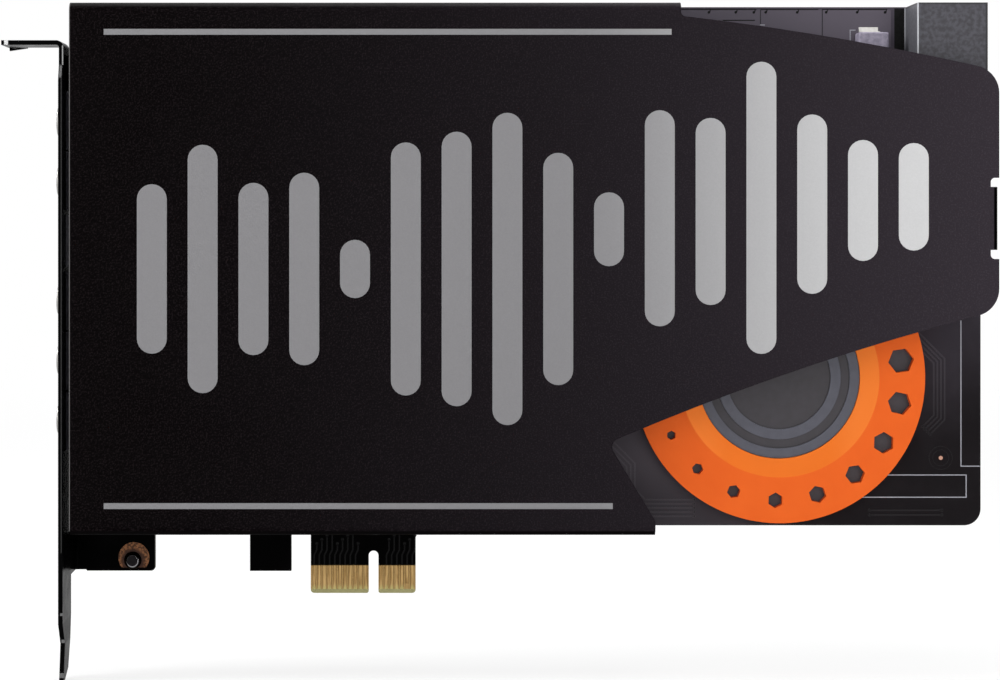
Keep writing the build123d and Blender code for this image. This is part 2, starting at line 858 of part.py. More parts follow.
# Optical output: moulded housing with a square port, its light source behind it, and three pins
with BuildPart() as optical_housing:
    with BuildSketch(component_face):
        patch(
            bracket_inner_x,
            bracket_inner_x + optical_length,
            optical_z - optical_width / 2,
            optical_z + optical_width / 2,
        )
    extrude(amount=optical_height)
    with BuildSketch(Plane.YZ.offset(bracket_outer_x)):
        with Locations((port_axis_y, optical_z)):
            Rectangle(optical_nose, optical_nose)
    extrude(amount=bracket_sheet)
    with BuildSketch(Plane.YZ.offset(bracket_outer_x)) as port:
        with Locations((port_axis_y, optical_z)):
            Rectangle(optical_port, optical_port)
        chamfer(port.vertices().group_by(Axis.X)[0], optical_port_chamfer)
    extrude(amount=optical_port_depth, mode=Mode.SUBTRACT)
    with BuildSketch(Plane.YZ.offset(optical_floor_x)):
        with Locations((port_axis_y, optical_z)):
            Circle(lens_radius + pin_clearance)
    extrude(amount=lens_length, mode=Mode.SUBTRACT)
    with BuildSketch(component_face):
        with Locations(optical_pin_sites):
            Rectangle(optical_pin_size + 2 * pin_clearance, optical_pin_size + 2 * pin_clearance)
    extrude(amount=optical_pin_seat, mode=Mode.SUBTRACT)
save(optical_housing, "optical_output_housing")

with BuildPart() as optical_lens:
    with BuildSketch(Plane.YZ.offset(optical_floor_x)):
        with Locations((port_axis_y, optical_z)):
            Circle(lens_radius)
    extrude(amount=lens_length)
save(optical_lens, "optical_output_emitter")

with BuildPart() as optical_pins:
    with BuildSketch(component_face.offset(optical_pin_seat)):
        with Locations(optical_pin_sites):
            Rectangle(optical_pin_size, optical_pin_size)
    extrude(amount=-(optical_pin_seat + lead_length))
save(optical_pins, "optical_output_pins")

# Chips under the shield
save(flat_chip(processor_site, processor_size, processor_height), "audio_processor")
save(flat_chip(bridge_site, bridge_size, bridge_height), "bus_bridge_chip")
save(flat_chip(converter_site, converter_size, converter_height), "playback_converter")
save(flat_chip(recorder_site, recorder_size, recorder_height), "recording_converter")
amplifier = leaded_chips(
    [amplifier_site],
    amplifier_length,
    amplifier_depth,
    amplifier_height,
    amplifier_pitch,
    amplifier_lead_width,
    amplifier_lead_count,
)
save(amplifier, "headphone_amplifier")
op_amps = leaded_chips(
    op_amp_sites,
    op_amp_length,
    op_amp_depth,
    op_amp_height,
    op_amp_pitch,
    op_amp_lead_width,
    op_amp_lead_count,
)
save(op_amps, "op_amps")

with BuildPart() as oscillators:
    with BuildSketch(component_face):
        with Locations(oscillator_sites):
            Rectangle(oscillator_length, oscillator_width)
    extrude(amount=oscillator_height)
    chamfer(oscillators.faces().group_by(Axis.Y)[0].edges(), chip_edge_chamfer)
save(oscillators, "clock_oscillators")

with BuildPart() as regulators:
    with BuildSketch(component_face):
        with Locations(regulator_sites):
            Rectangle(regulator_body, regulator_depth)
    extrude(amount=regulator_height)
    with BuildSketch(component_face):
        with Locations(regulator_sites):
            with Locations((0, regulator_depth / 2)):
                Rectangle(regulator_tab_width, 2 * regulator_reach)
            with Locations((0, -regulator_depth / 2)):
                with GridLocations(regulator_lead_pitch, 0, regulator_lead_count, 1):
                    Rectangle(regulator_lead_width, 2 * regulator_reach)
    extrude(amount=lead_thickness)
save(regulators, "voltage_regulators")

# Shielded power coils on bent terminals
with BuildPart() as inductor_terminals:
    terminal_run = terminal_reach + terminal_inset
    for end in (-1, 1):
        end_z = end * inductor_size / 2
        with BuildSketch(component_face):
            with Locations(inductor_sites):
                with Locations((0, end_z + end * (terminal_reach - terminal_inset) / 2)):
                    Rectangle(terminal_width, terminal_run)
        extrude(amount=terminal_sheet)
        with BuildSketch(component_face):
            with Locations(inductor_sites):
                with Locations((0, end_z + end * terminal_sheet / 2)):
                    Rectangle(terminal_width, terminal_sheet)
        extrude(amount=terminal_rise)
save(inductor_terminals, "inductor_terminals")

with BuildPart() as inductors:
    with BuildSketch(component_face.offset(terminal_sheet)):
        with Locations(inductor_sites):
            Rectangle(inductor_size, inductor_size)
    extrude(amount=inductor_height)
    chamfer(inductors.edges().filter_by(Axis.Y), inductor_corner)
save(inductors, "power_inductors")

# Electrolytic reservoir capacitors: leads, moulded bases and round cans
base_half = reservoir_can_radius + base_overhang
base_clipped = base_half - base_chamfer
with BuildPart() as reservoir_leads:
    lead_run = base_half + capacitor_lead_reach - capacitor_lead_inset
    lead_middle = capacitor_lead_inset + lead_run / 2
    with BuildSketch(component_face):
        with Locations(reservoir_sites):
            with Locations((-lead_middle, 0), (lead_middle, 0)):
                Rectangle(lead_run, capacitor_lead_width)
    extrude(amount=lead_thickness)
save(reservoir_leads, "reservoir_capacitor_leads")

with BuildPart() as reservoir_bases:
    with BuildSketch(component_face.offset(lead_thickness)):
        with Locations(reservoir_sites):
            Polygon(
                (-base_half, -base_half),
                (base_clipped, -base_half),
                (base_half, -base_clipped),
                (base_half, base_clipped),
                (base_clipped, base_half),
                (-base_half, base_half),
                align=None,
            )
    extrude(amount=base_height)
save(reservoir_bases, "reservoir_capacitor_bases")

with BuildPart() as reservoir_cans:
    with BuildSketch(component_face.offset(lead_thickness + base_height)):
        with Locations(reservoir_sites):
            Circle(reservoir_can_radius)
    extrude(amount=reservoir_can_height)
    chamfer(reservoir_cans.edges().filter_by(GeomType.CIRCLE).group_by(Axis.Y)[0], can_edge_chamfer)
save(reservoir_cans, "reservoir_capacitor_cans")

# Film and ceramic capacitors and resistors
coupling_capacitors = chip_parts(
    coupling_sites,
    coupling_capacitor_width,
    coupling_capacitor_length,
    coupling_capacitor_height,
)
save(coupling_capacitors, "coupling_capacitors")
save(chip_parts(ceramic_sites, chip_part_width, chip_part_length, ceramic_height), "ceramic_capacitors")
save(chip_parts(resistor_sites, chip_part_width, chip_part_length, resistor_height), "chip_resistors")
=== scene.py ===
"""Looks of the sound card: paint, print, solder mask, plating and plastics, with its light and camera.

Lengths are metres in the model's own frame: X runs from the slot bracket to the rear of the board, Z runs up,
and the component side faces -Y.
"""

import json
import math

import bmesh
import bpy
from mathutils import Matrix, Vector


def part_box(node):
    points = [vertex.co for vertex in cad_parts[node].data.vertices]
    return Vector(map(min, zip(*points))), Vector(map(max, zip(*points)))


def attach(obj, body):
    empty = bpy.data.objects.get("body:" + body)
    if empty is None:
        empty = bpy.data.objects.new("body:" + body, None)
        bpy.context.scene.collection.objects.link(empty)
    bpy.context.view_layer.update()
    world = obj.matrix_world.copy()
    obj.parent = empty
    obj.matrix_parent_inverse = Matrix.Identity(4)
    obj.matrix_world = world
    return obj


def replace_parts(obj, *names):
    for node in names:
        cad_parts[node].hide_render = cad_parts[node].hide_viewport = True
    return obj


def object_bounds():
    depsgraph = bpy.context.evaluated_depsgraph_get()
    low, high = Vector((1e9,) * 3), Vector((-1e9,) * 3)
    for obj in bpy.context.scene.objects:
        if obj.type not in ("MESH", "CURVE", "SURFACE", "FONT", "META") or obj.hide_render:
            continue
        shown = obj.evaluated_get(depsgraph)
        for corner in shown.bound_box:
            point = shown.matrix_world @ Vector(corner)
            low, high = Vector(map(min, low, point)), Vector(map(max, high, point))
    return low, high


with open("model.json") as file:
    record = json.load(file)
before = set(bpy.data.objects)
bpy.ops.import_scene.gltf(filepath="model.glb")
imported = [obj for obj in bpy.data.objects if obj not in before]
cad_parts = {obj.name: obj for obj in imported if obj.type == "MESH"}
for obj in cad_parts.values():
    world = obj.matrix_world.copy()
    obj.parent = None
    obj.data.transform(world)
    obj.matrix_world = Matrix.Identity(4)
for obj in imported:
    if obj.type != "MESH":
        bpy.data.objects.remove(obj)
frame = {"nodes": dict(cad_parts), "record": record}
cad_low, cad_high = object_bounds()

MM = 0.001
FRONT = -1
BACK = 1


def mm(*lengths):
    """Lengths in millimetres, as metres."""
    return tuple(length * MM for length in lengths)


def middle(low, high):
    """The middle of a box in X and Z."""
    return (low.x + high.x) / 2, (low.z + high.z) / 2


# Places read from the frame
board_low, board_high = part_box("pcb")
shield_low, shield_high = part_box("emi_shield")
inlet_low, inlet_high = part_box("power_inlet_housing")
contacts_low, contacts_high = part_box("edge_contacts")
disc_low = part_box("ring_base")[0]
FRONT_Y = board_low.y
BACK_Y = board_high.y
SHIELD_Y = shield_low.y
FRONT_FACE = (FRONT_Y, FRONT)
BACK_FACE = (BACK_Y, BACK)
SHIELD_FACE = (SHIELD_Y, FRONT)
RING_X, RING_Z = middle(*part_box("trim_ring"))
TONGUE_X = (contacts_low.x + contacts_high.x) / 2
JACKS = range(1, 6)

# Other places and sizes
BOARD_BOTTOM = 13.15 * MM
TONGUE_MARGIN = 0.4 * MM
TONGUE_HALF = (contacts_high.x - contacts_low.x) / 2 + TONGUE_MARGIN
CONTACT_PITCH = 1 * MM
CONTACT_HALF = 0.35 * MM
REAR_TAB_MIDDLE = 72.6 * MM
REAR_TAB_HALF = 5.9 * MM
BRACKET_OUTER = -58.75 * MM

# Camera: square to the board with a shifted lens, as a product photo is taken
CAMERA_X = 7.83 * MM
CAMERA_Z = 73.8 * MM
CAMERA_DISTANCE = 422 * MM
CAMERA_LENS = 78.48
CAMERA_SENSOR = 36.0
CAMERA_SHIFT = (0.086, -0.128)
CAMERA_NEAR = 0.01

# Thin layers on the board and the shield
INK = 0.03 * MM
COPPER = 0.035 * MM
SKIN = 0.03 * MM

# Mesh helpers
SHARP_ANGLE = math.radians(40)
LEAST_MITRE = 0.4
WELD = 1e-6


def put_in_scene(name, data):
    """A new object in the scene."""
    made = bpy.data.objects.new(name, data)
    bpy.context.scene.collection.objects.link(made)
    return made


def new_object(name, mesh, look):
    """An object made from a finished mesh."""
    data = bpy.data.meshes.new(name)
    mesh.to_mesh(data)
    mesh.free()
    data.materials.append(look.material)
    return put_in_scene(name, data)


def add_piece(name, mesh, slot, look=None):
    """A piece that rides on the card, with its slot's look unless another is given."""
    bmesh.ops.recalc_face_normals(mesh, faces=mesh.faces)
    piece = new_object(name, mesh, look or looks[slot])
    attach(piece, "root")
    return piece


def smooth(piece):
    """Shade a piece smooth, with its sharp edges kept."""
    piece.data.polygons.foreach_set("use_smooth", [True] * len(piece.data.polygons))
    piece.data.set_sharp_from_angle(angle=SHARP_ANGLE)


def join_rings(mesh, rings, closed=False):
    """Skin rings of points in turn, and cap both ends unless the last ring runs back into the first."""
    loops = [[mesh.verts.new(point) for point in ring] for ring in rings]
    pairs = list(zip(loops, loops[1:]))
    if closed:
        pairs.append((loops[-1], loops[0]))
    for first, second in pairs:
        for index in range(len(first)):
            after = (index + 1) % len(first)
            mesh.faces.new((first[index], first[after], second[after], second[index]))
    if not closed:
        mesh.faces.new(loops[0])
        mesh.faces.new(list(reversed(loops[-1])))


def raised(outline, y):
    """An outline in X and Z set at one depth."""
    return [(x, y, z) for x, z in outline]


def add_slab(mesh, outline, face, thickness):
    """A plate that stands off a face, which is given as a depth and a side."""
    y, side = face
    join_rings(mesh, [raised(outline, y), raised(outline, y + side * thickness)])


def add_pierced(mesh, outer, inner, face, thickness):
    """A plate with one hole, its two outlines having as many points."""
    y, side = face
    top = y + side * thickness
    rings = [raised(inner, y), raised(outer, y), raised(outer, top), raised(inner, top)]
    join_rings(mesh, rings, closed=True)


def add_annulus(mesh, x, z, inner, outer, face, thickness, count=48):
    """A flat ring that stands off a face."""
    add_pierced(mesh, circle(x, z, outer, count), circle(x, z, inner, count), face, thickness)


def add_strip(mesh, points, width, face, thickness):
    """A flat strip of one width along a run of points."""
    y, side = face
    rows = []
    for left, right in zip(offset_route(points, width / 2), offset_route(points, -width / 2)):
        rows.append(raised([left, right], y) + raised([right, left], y + side * thickness))
    join_rings(mesh, rows)


def offset_route(points, distance):
    """The points of a route moved sideways, with mitred turns."""
    moved = []
    for index, (x, z) in enumerate(points):
        before = points[max(index - 1, 0)]
        after = points[min(index + 1, len(points) - 1)]
        into = Vector((x - before[0], z - before[1]))
        out = Vector((after[0] - x, after[1] - z))
        into = into.normalized() if into.length else out.normalized()
        out = out.normalized() if out.length else into
        normal = Vector((-into.y - out.y, into.x + out.x)).normalized()
        stretch = distance / max(normal.dot(Vector((-into.y, into.x))), LEAST_MITRE)
        moved.append((x + normal.x * stretch, z + normal.y * stretch))
    return moved


def circle(x, z, radius, count=48, start=0.0, sweep=math.tau):
    """Points along a circle or an arc in X and Z."""
    steps = count if sweep == math.tau else count - 1
    turns = [start + sweep * index / steps for index in range(count)]
    return [(x + radius * math.cos(turn), z + radius * math.sin(turn)) for turn in turns]


def rounded(left, right, bottom, top, radius, count=5):
    """Points round a rectangle with rounded corners, from the lower left one."""
    start = math.pi
    points = []
    for corner in rectangle(left + radius, right - radius, bottom + radius, top - radius):
        points += circle(*corner, radius, count, start, math.pi / 2)
        start += math.pi / 2
    return points


def rectangle(left, right, bottom, top):
    """The corners of a rectangle."""
    return [(left, bottom), (right, bottom), (right, top), (left, top)]


def islands(node):
    """The lowest and highest corners of each separate solid in a node."""
    mesh = bmesh.new()
    mesh.from_mesh(frame["nodes"][node].data)
    bmesh.ops.remove_doubles(mesh, verts=mesh.verts, dist=WELD)
    waiting = set(mesh.verts)
    found = []
    while waiting:
        group = [waiting.pop()]
        for vert in group:
            for edge in vert.link_edges:
                other = edge.other_vert(vert)
                if other in waiting:
                    waiting.remove(other)
                    group.append(other)
        low = Vector([min(vert.co[axis] for vert in group) for axis in range(3)])
        high = Vector([max(vert.co[axis] for vert in group) for axis in range(3)])
        found.append((low, high))
    mesh.free()
    return sorted(found, key=lambda corners: tuple(corners[0]))


# Material helpers
BEVEL_SAMPLES = 4
NOISE_SPAN = (0.2, 0.8)
MIX_COLOURS = slice(6, 8)
MIX_RESULT = 2


class Nodes:
    """A tree of shading nodes, with short calls that add to it."""

    def __init__(self, tree):
        self.tree = tree

    def feed(self, socket, value):
        """Link an output to a socket, or set the socket's value."""
        if isinstance(value, bpy.types.NodeSocket):
            self.tree.links.new(value, socket)
        else:
            socket.default_value = value

    def node(self, kind, **inputs):
        """A new node with some of its inputs set or linked."""
        node = self.tree.nodes.new(kind)
        for name, value in inputs.items():
            self.feed(node.inputs[name.replace("_", " ")], value)
        return node

    def part(self, vector, letter):
        """One part of a vector."""
        return self.node("ShaderNodeSeparateXYZ", Vector=vector).outputs[letter]

    def ramp(self, value, low, high, start=0.0, end=1.0):
        """A number that passes softly from start to end as a value crosses two limits."""
        limits = {"From_Min": low, "From_Max": high, "To_Min": start, "To_Max": end}
        node = self.node("ShaderNodeMapRange", Value=value, **limits)
        node.interpolation_type = "SMOOTHSTEP"
        return node.outputs[0]


class Look(Nodes):
    """A material under construction, with short calls for what varies over its surface."""

    def __init__(self, name, colour, roughness, metallic=0.0, specular=0.5):
        self.material = bpy.data.materials.new(name)
        self.material.use_nodes = True
        super().__init__(self.material.node_tree)
        self.shader = self.tree.nodes["Principled BSDF"]
        self.paint((*colour, 1.0))
        self.set("Roughness", roughness)
        self.set("Metallic", metallic)
        self.set("Specular IOR Level", specular)
        coordinates = self.node("ShaderNodeTexCoord").outputs
        self.place = coordinates["Object"]
        self.facing = coordinates["Normal"]
        self.normal = None

    def set(self, socket, value):
        """Set a constant on the shader itself, or link a texture to it."""
        self.feed(self.shader.inputs[socket], value)

    def paint(self, colour):
        """Set or link the colour of the surface."""
        self.set("Base Color", colour)

    def math(self, operation, first, second=0.0):
        """The result of one sum."""
        node = self.node("ShaderNodeMath")
        node.operation = operation
        self.feed(node.inputs[0], first)
        self.feed(node.inputs[1], second)
        return node.outputs[0]

    def product(self, first, *others):
        """Some numbers multiplied together."""
        for other in others:
            first = self.math("MULTIPLY", first, other)
        return first

    def axis(self, letter):
        """One of the surface's own coordinates, in metres."""
        return self.part(self.place, letter)

    def away(self, letter, place):
        """The distance along an axis from one place."""
        return self.math("ABSOLUTE", self.math("SUBTRACT", self.axis(letter), place))

    def distance(self, x, z):
        """The distance in X and Z from one place."""
        across = self.away("X", x)
        up = self.away("Z", z)
        return self.math("SQRT", self.math("ADD", self.product(across, across), self.product(up, up)))

    def noise(self, size, detail=3.0, stretch=None):
        """Noise whose blotches are about as large as the size given."""
        place = self.place
        if stretch:
            place = self.node("ShaderNodeMapping", Vector=place, Scale=stretch).outputs[0]
        return self.node("ShaderNodeTexNoise", Vector=place, Scale=1 / size, Detail=detail).outputs["Fac"]

    def fade(self, letter, span, edge=0.0, start=0.0, end=1.0):
        """A ramp between two places on an axis, counted from an edge."""
        return self.ramp(self.axis(letter), edge + span[0], edge + span[1], start, end)

    def band(self, value, low, high, soft):
        """One between two limits and nothing outside them."""
        rise = self.ramp(value, low - soft, low + soft)
        fall = self.ramp(value, high + soft, high - soft)
        return self.product(rise, fall)

    def mix(self, share, first, second):
        """A colour between two colours."""
        node = self.node("ShaderNodeMix", Factor=share)
        node.data_type = "RGBA"
        for socket, value in zip(node.inputs[MIX_COLOURS], (first, second)):
            self.feed(socket, value if isinstance(value, bpy.types.NodeSocket) else (*value, 1.0))
        return node.outputs[MIX_RESULT]

    def vary_roughness(self, texture, low, high):
        """Let the roughness follow a texture."""
        self.set("Roughness", self.ramp(texture, *NOISE_SPAN, low, high))

    def soften_edges(self, radius):
        """Round the shading of sharp edges."""
        bevel = self.node("ShaderNodeBevel", Radius=radius)
        bevel.samples = BEVEL_SAMPLES
        self.normal = bevel.outputs[0]
        self.set("Normal", self.normal)

    def bump(self, height, distance):
        """Raise the surface's shading by a texture."""
        node = self.node("ShaderNodeBump", Height=height, Distance=distance)
        if self.normal:
            self.feed(node.inputs["Normal"], self.normal)
        self.normal = node.outputs[0]
        self.set("Normal", self.normal)


# Looks of the painted sheet metal
SPECKLE_SIZE = 0.28 * MM
PAINT_GRAIN = 0.3 * MM
PALE_EDGE_LINE = mm(0.2, 0.12)
TAB_SOFT = 0.05 * MM
REAR_BEND = mm(-1.1, -0.8)
NEAR_FACE = mm(2.2, 1.6)
LOW_BEND = mm(1.1, 0.7)
LOW_SHINE = mm(0.6, 1.8)
PRINT_RUN = mm(34, 112)
BRACKET_BLACK = (0.0012, 0.0012, 0.0013)
PAINTED_HIGHLIGHT_GREY = (0.62, 0.62, 0.62)
BRACKET_PEEL = 0.9 * MM

# Painted highlights in mm, X from the bracket's outer face: left, right, bottom, top, softness in X and Z,
# strength
TAB_TIP = (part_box("io_bracket")[0].x - BRACKET_OUTER) / MM
BRACKET_HIGHLIGHTS = (
    (0.60, 0.82, 101.4, 105.0, 0.05, 0.05, 0.45),
    (0.15, 0.60, 99.0, 101.3, 0.05, 0.3, 0.19),
    (0.52, 0.66, 10.0, 98.8, 0.05, 0.05, 0.06),
    (TAB_TIP + 0.6, TAB_TIP + 1.3, 105.14, 107.0, 0.1, 0.05, 1.0),
    (0.40, 0.90, -1.75, -1.25, 0.05, 0.05, 0.2),
    (0.65, 1.25, -6.8, -6.2, 0.05, 0.05, 0.2),
    (0.20, 1.10, -13.35, -12.45, 0.05, 0.05, 0.2),
)


def shield_paint():
    """Satin black powder paint with a fine speckle, lighter towards the rear as painted light, with painted
    shade on the lower bend and on the rear tab's bend, and a pale line along the edge beside the bracket.
    """
    look = Look("shield_satin_black", (0.01, 0.009, 0.01), 0.4, specular=0.06)
    # The paint grows lighter towards the rear: painted light from a lamp on that side.
    along = look.math("SUBTRACT", look.axis("X"), shield_low.x)
    along = look.math("DIVIDE", along, shield_high.x - shield_low.x)
    along = look.product(along, along)
    plain = look.mix(along, (0.0012, 0.0006, 0.0008), (0.0285, 0.0233, 0.0292))
    speckled = look.mix(along, (0.0085, 0.0062, 0.007), (0.038, 0.0318, 0.039))
    paint = look.mix(look.ramp(look.noise(SPECKLE_SIZE, 2.0), 0.5, 0.66), plain, speckled)
    paint = look.mix(look.fade("X", PALE_EDGE_LINE, shield_low.x), paint, (0.1, 0.097, 0.097))
    near_face = look.fade("Y", NEAR_FACE, SHIELD_Y)
    # Painted shade darkens the lower bend near the face.
    low_bend = look.product(look.fade("Z", LOW_BEND, shield_low.z), near_face)
    paint = look.mix(low_bend, paint, (0.0022, 0.0018, 0.002))
    # Painted shade makes the rear tab's bend near black.
    from_tab = look.away("Z", REAR_TAB_MIDDLE)
    on_tab = look.ramp(from_tab, REAR_TAB_HALF + TAB_SOFT, REAR_TAB_HALF - TAB_SOFT)
    turned = look.product(on_tab, near_face, look.fade("X", REAR_BEND, shield_high.x))
    look.paint(look.mix(turned, paint, (0.0006, 0.0006, 0.0006)))
    shine = look.fade("Z", LOW_SHINE, shield_low.z, 0.002, 0.015)
    shine = look.math("ADD", shine, look.ramp(look.part(look.facing, "Z"), 0.2, 0.7, 0.0, 0.07))
    look.set("Specular IOR Level", look.product(shine, look.math("SUBTRACT", 1.0, turned)))
    look.vary_roughness(look.noise(1.2 * MM), 0.34, 0.48)
    look.soften_edges(0.25 * MM)
    look.bump(look.noise(PAINT_GRAIN, 2.0), 0.012 * MM)
    return look


def print_ink():
    """Silver ink, paler towards the rear, which is painted light."""
    look = Look("silver_print", (0.5, 0.5, 0.5), 0.45, metallic=0.2)
    # The ink grows paler towards the rear: painted light from a lamp on that side.
    along = look.fade("X", PRINT_RUN)
    base = look.mix(along, (0.157, 0.154, 0.161), (0.47, 0.47, 0.475))
    flake = look.mix(along, (0.185, 0.182, 0.19), (0.53, 0.53, 0.535))
    look.paint(look.mix(look.noise(0.25 * MM, 2.0), base, flake))
    look.bump(look.noise(PAINT_GRAIN, 2.0), 0.008 * MM)
    return look


def bracket_paint():
    """Gloss black paint with a little orange peel, with painted highlights in places on the front edge and on
    the tab's tip.
    """
    look = Look("bracket_gloss_black", BRACKET_BLACK, 0.24, specular=0.035)
    # Pale marks on the front edge and the tab's tip are painted highlights.
    highlight_share = 0.0
    from_face = look.math("SUBTRACT", look.axis("X"), BRACKET_OUTER)
    for left, right, bottom, top, soft_x, soft_z, strength in BRACKET_HIGHLIGHTS:
        across = look.band(from_face, left * MM, right * MM, soft_x * MM)
        up = look.band(look.axis("Z"), bottom * MM, top * MM, soft_z * MM)
        mark = look.product(across, up, strength)
        highlight_share = look.math("MAXIMUM", highlight_share, mark)
    highlight_share = look.product(highlight_share, look.ramp(look.part(look.facing, "Y"), -0.8, -0.95))
    look.paint(look.mix(highlight_share, BRACKET_BLACK, PAINTED_HIGHLIGHT_GREY))
    look.set("Specular IOR Level", look.ramp(look.part(look.facing, "X"), -0.6, -0.9, 0.008, 0.25))
    look.vary_roughness(look.noise(3 * MM), 0.18, 0.3)
    look.soften_edges(0.14 * MM)
    look.bump(look.noise(BRACKET_PEEL, 1.0), 0.006 * MM)
    return look


# Looks of the board and its copper, with the places where the mask's tone changes; on the component side
# these changes are painted light and shade
OPEN_AREA_X = mm(10, 42)
LOWER_TONE_Z = mm(27, 52)
MARGIN_X = mm(113.4, 113.9)
MARGIN_SHIFT = 6 * MM
RING_SIDE_X = mm(86, 70)
RING_SIDE_Z = mm(44, 36)
RING_SIDE_TONE_Z = mm(15, 29)
UPPER_STRIP_X = mm(60, 92)
UPPER_STRIP_Z = mm(70, 100)
BOARD_MIDDLE = mm(-0.1, 0.1)
GLASS_LAYER = 0.13 * MM
GLASS_FADE = mm(0.03, 0.1)
ROUTED_EDGE = (BACK_Y - 0.02 * MM, BACK_Y - 0.05 * MM)
TONGUE_SOFT = 0.3 * MM
LAMINATE_TOP = mm(0.1, -0.1)
LAMINATE_LINE = 0.02 * MM
BEVEL_Z = mm(0.95, 0.75)
WEAVE = 0.5 * MM
CONTACT_EDGE = (CONTACT_HALF - 0.11 * MM, CONTACT_HALF - 0.05 * MM)
CONTACT_END = mm(1.2, 0)
SCREW_SHADE_REACH = mm(2.7, 1.8)


def component_tone(look, base, beside, upper, covered):
    """Painted light and shade on the component side: a lighter tone beside the ring and along the upper edge,
    and a near black tone under the shield.
    """
    at_side = look.product(look.fade("X", RING_SIDE_X), look.fade("Z", RING_SIDE_Z))
    tone = look.mix(at_side, base, look.mix(look.fade("Z", RING_SIDE_TONE_Z), *beside))
    tone = look.mix(look.fade("Z", UPPER_STRIP_Z), tone, look.mix(look.fade("X", UPPER_STRIP_X), *upper))
    return look.mix(look.fade("X", OPEN_AREA_X), covered, tone)


def from_contact(look):
    """The distance in X from the middle of the nearest contact."""
    place = look.math("SUBTRACT", look.axis("X"), CONTACT_PITCH / 2)
    return look.math("PINGPONG", place, CONTACT_PITCH / 2)


def board_mask():
    """Purple-black solder mask, with layered glass on the routed edges and a bare connector bevel."""
    look = Look("solder_mask", (0.006, 0.005, 0.007), 0.34)
    cloud = look.noise(6 * MM, 4.0)
    patchy = look.ramp(cloud, 0.4, 0.75)
    # Painted shade: the mask darkens towards the bottom, and the dark reaches higher near the right margin.
    margin = look.fade("X", MARGIN_X, end=MARGIN_SHIFT)
    height = look.ramp(look.math("SUBTRACT", look.axis("Z"), margin), *LOWER_TONE_Z)
    calm = look.mix(height, (0.0107, 0.0092, 0.0102), (0.035, 0.03, 0.037))
    cloudy = look.mix(height, (0.0135, 0.0117, 0.013), (0.041, 0.036, 0.044))
    mask = component_tone(
        look,
        base=look.mix(patchy, calm, cloudy),
        beside=((0.036, 0.032, 0.037), (0.072, 0.063, 0.073)),
        upper=((0.056, 0.049, 0.062), (0.077, 0.067, 0.086)),
        covered=look.mix(patchy, (0.0004, 0.00035, 0.0004), (0.0012, 0.001, 0.0012)),
    )
    rear = look.mix(cloud, (0.007, 0.006, 0.008), (0.013, 0.011, 0.015))
    mask = look.mix(look.fade("Y", BOARD_MIDDLE), mask, rear)
    depth = look.math("ABSOLUTE", look.axis("Y"))
    layers = look.ramp(look.math("PINGPONG", depth, GLASS_LAYER), *GLASS_FADE)
    glass = look.mix(layers, (0.03, 0.026, 0.016), (0.07, 0.06, 0.038))
    mask = look.mix(look.ramp(depth, *ROUTED_EDGE), mask, glass)
    on_tongue = look.ramp(look.away("X", TONGUE_X), TONGUE_HALF + TONGUE_SOFT, TONGUE_HALF)
    unmasked = look.fade("Z", LAMINATE_TOP, contacts_high.z)
    line_low = CONTACT_HALF - LAMINATE_LINE
    line = look.band(from_contact(look), line_low, CONTACT_HALF + LAMINATE_LINE, LAMINATE_LINE)
    laminate = look.mix(line, (0.38, 0.245, 0.098), (0.1, 0.06, 0.02))
    mask = look.mix(look.product(on_tongue, unmasked), mask, laminate)
    bevel = look.mix(cloud, (0.24, 0.22, 0.1), (0.36, 0.34, 0.18))
    look.paint(look.mix(look.fade("Z", BEVEL_Z), mask, bevel))
    look.vary_roughness(cloud, 0.28, 0.42)
    look.set("Specular IOR Level", look.fade("Y", BOARD_MIDDLE, 0.0, 0.008, 0.45))
    weave = look.product(look.noise(WEAVE, stretch=(1, 1, 6)), look.noise(WEAVE, stretch=(6, 1, 1)))
    look.bump(weave, 0.02 * MM)
    return look


def copper_mask():
    """Solder mask over copper, a little paler than the rest, with the same painted light and shade."""
    look = Look("mask_over_copper", (0.012, 0.01, 0.014), 0.3)
    height = look.fade("Z", LOWER_TONE_Z)
    front = component_tone(
        look,
        base=look.mix(height, (0.0165, 0.0145, 0.016), (0.05, 0.044, 0.053)),
        beside=((0.045, 0.04, 0.046), (0.088, 0.077, 0.089)),
        upper=((0.08, 0.071, 0.089), (0.108, 0.095, 0.119)),
        covered=(0.0022, 0.002, 0.0023),
    )
    rear = look.mix(look.noise(2 * MM), (0.02, 0.017, 0.023), (0.03, 0.026, 0.034))
    look.paint(look.mix(look.fade("Y", BOARD_MIDDLE), front, rear))
    look.set("Specular IOR Level", look.fade("Y", BOARD_MIDDLE, 0.0, 0.06, 0.5))
    return look


def silkscreen():
    """Pale legend ink."""
    look = Look("silkscreen", (0.4, 0.4, 0.43), 0.6, specular=0.2)
    look.paint(look.mix(look.noise(0.2 * MM), (0.24, 0.24, 0.275), (0.4, 0.4, 0.44)))
    return look


def gold_plate():
    """Plated gold, wiped along its length, with darker edges and a greener lower end on each contact."""
    low = (0.23, 0.137, 0.048)
    high = (0.47, 0.31, 0.132)
    look = Look("contact_gold", high, 0.26, metallic=1.0)
    wipe = look.noise(0.25 * MM, stretch=(1, 1, 0.06))
    gold = look.mix(look.ramp(wipe, 0.3, 0.7), low, high)
    edge = look.ramp(from_contact(look), *CONTACT_EDGE)
    gold = look.mix(edge, gold, (0.15, 0.085, 0.028))
    low_end = look.fade("Z", CONTACT_END, contacts_low.z, end=0.7)
    look.paint(look.mix(low_end, gold, (0.4, 0.37, 0.15)))
    look.vary_roughness(wipe, 0.22, 0.4)
    look.soften_edges(0.08 * MM)
    return look


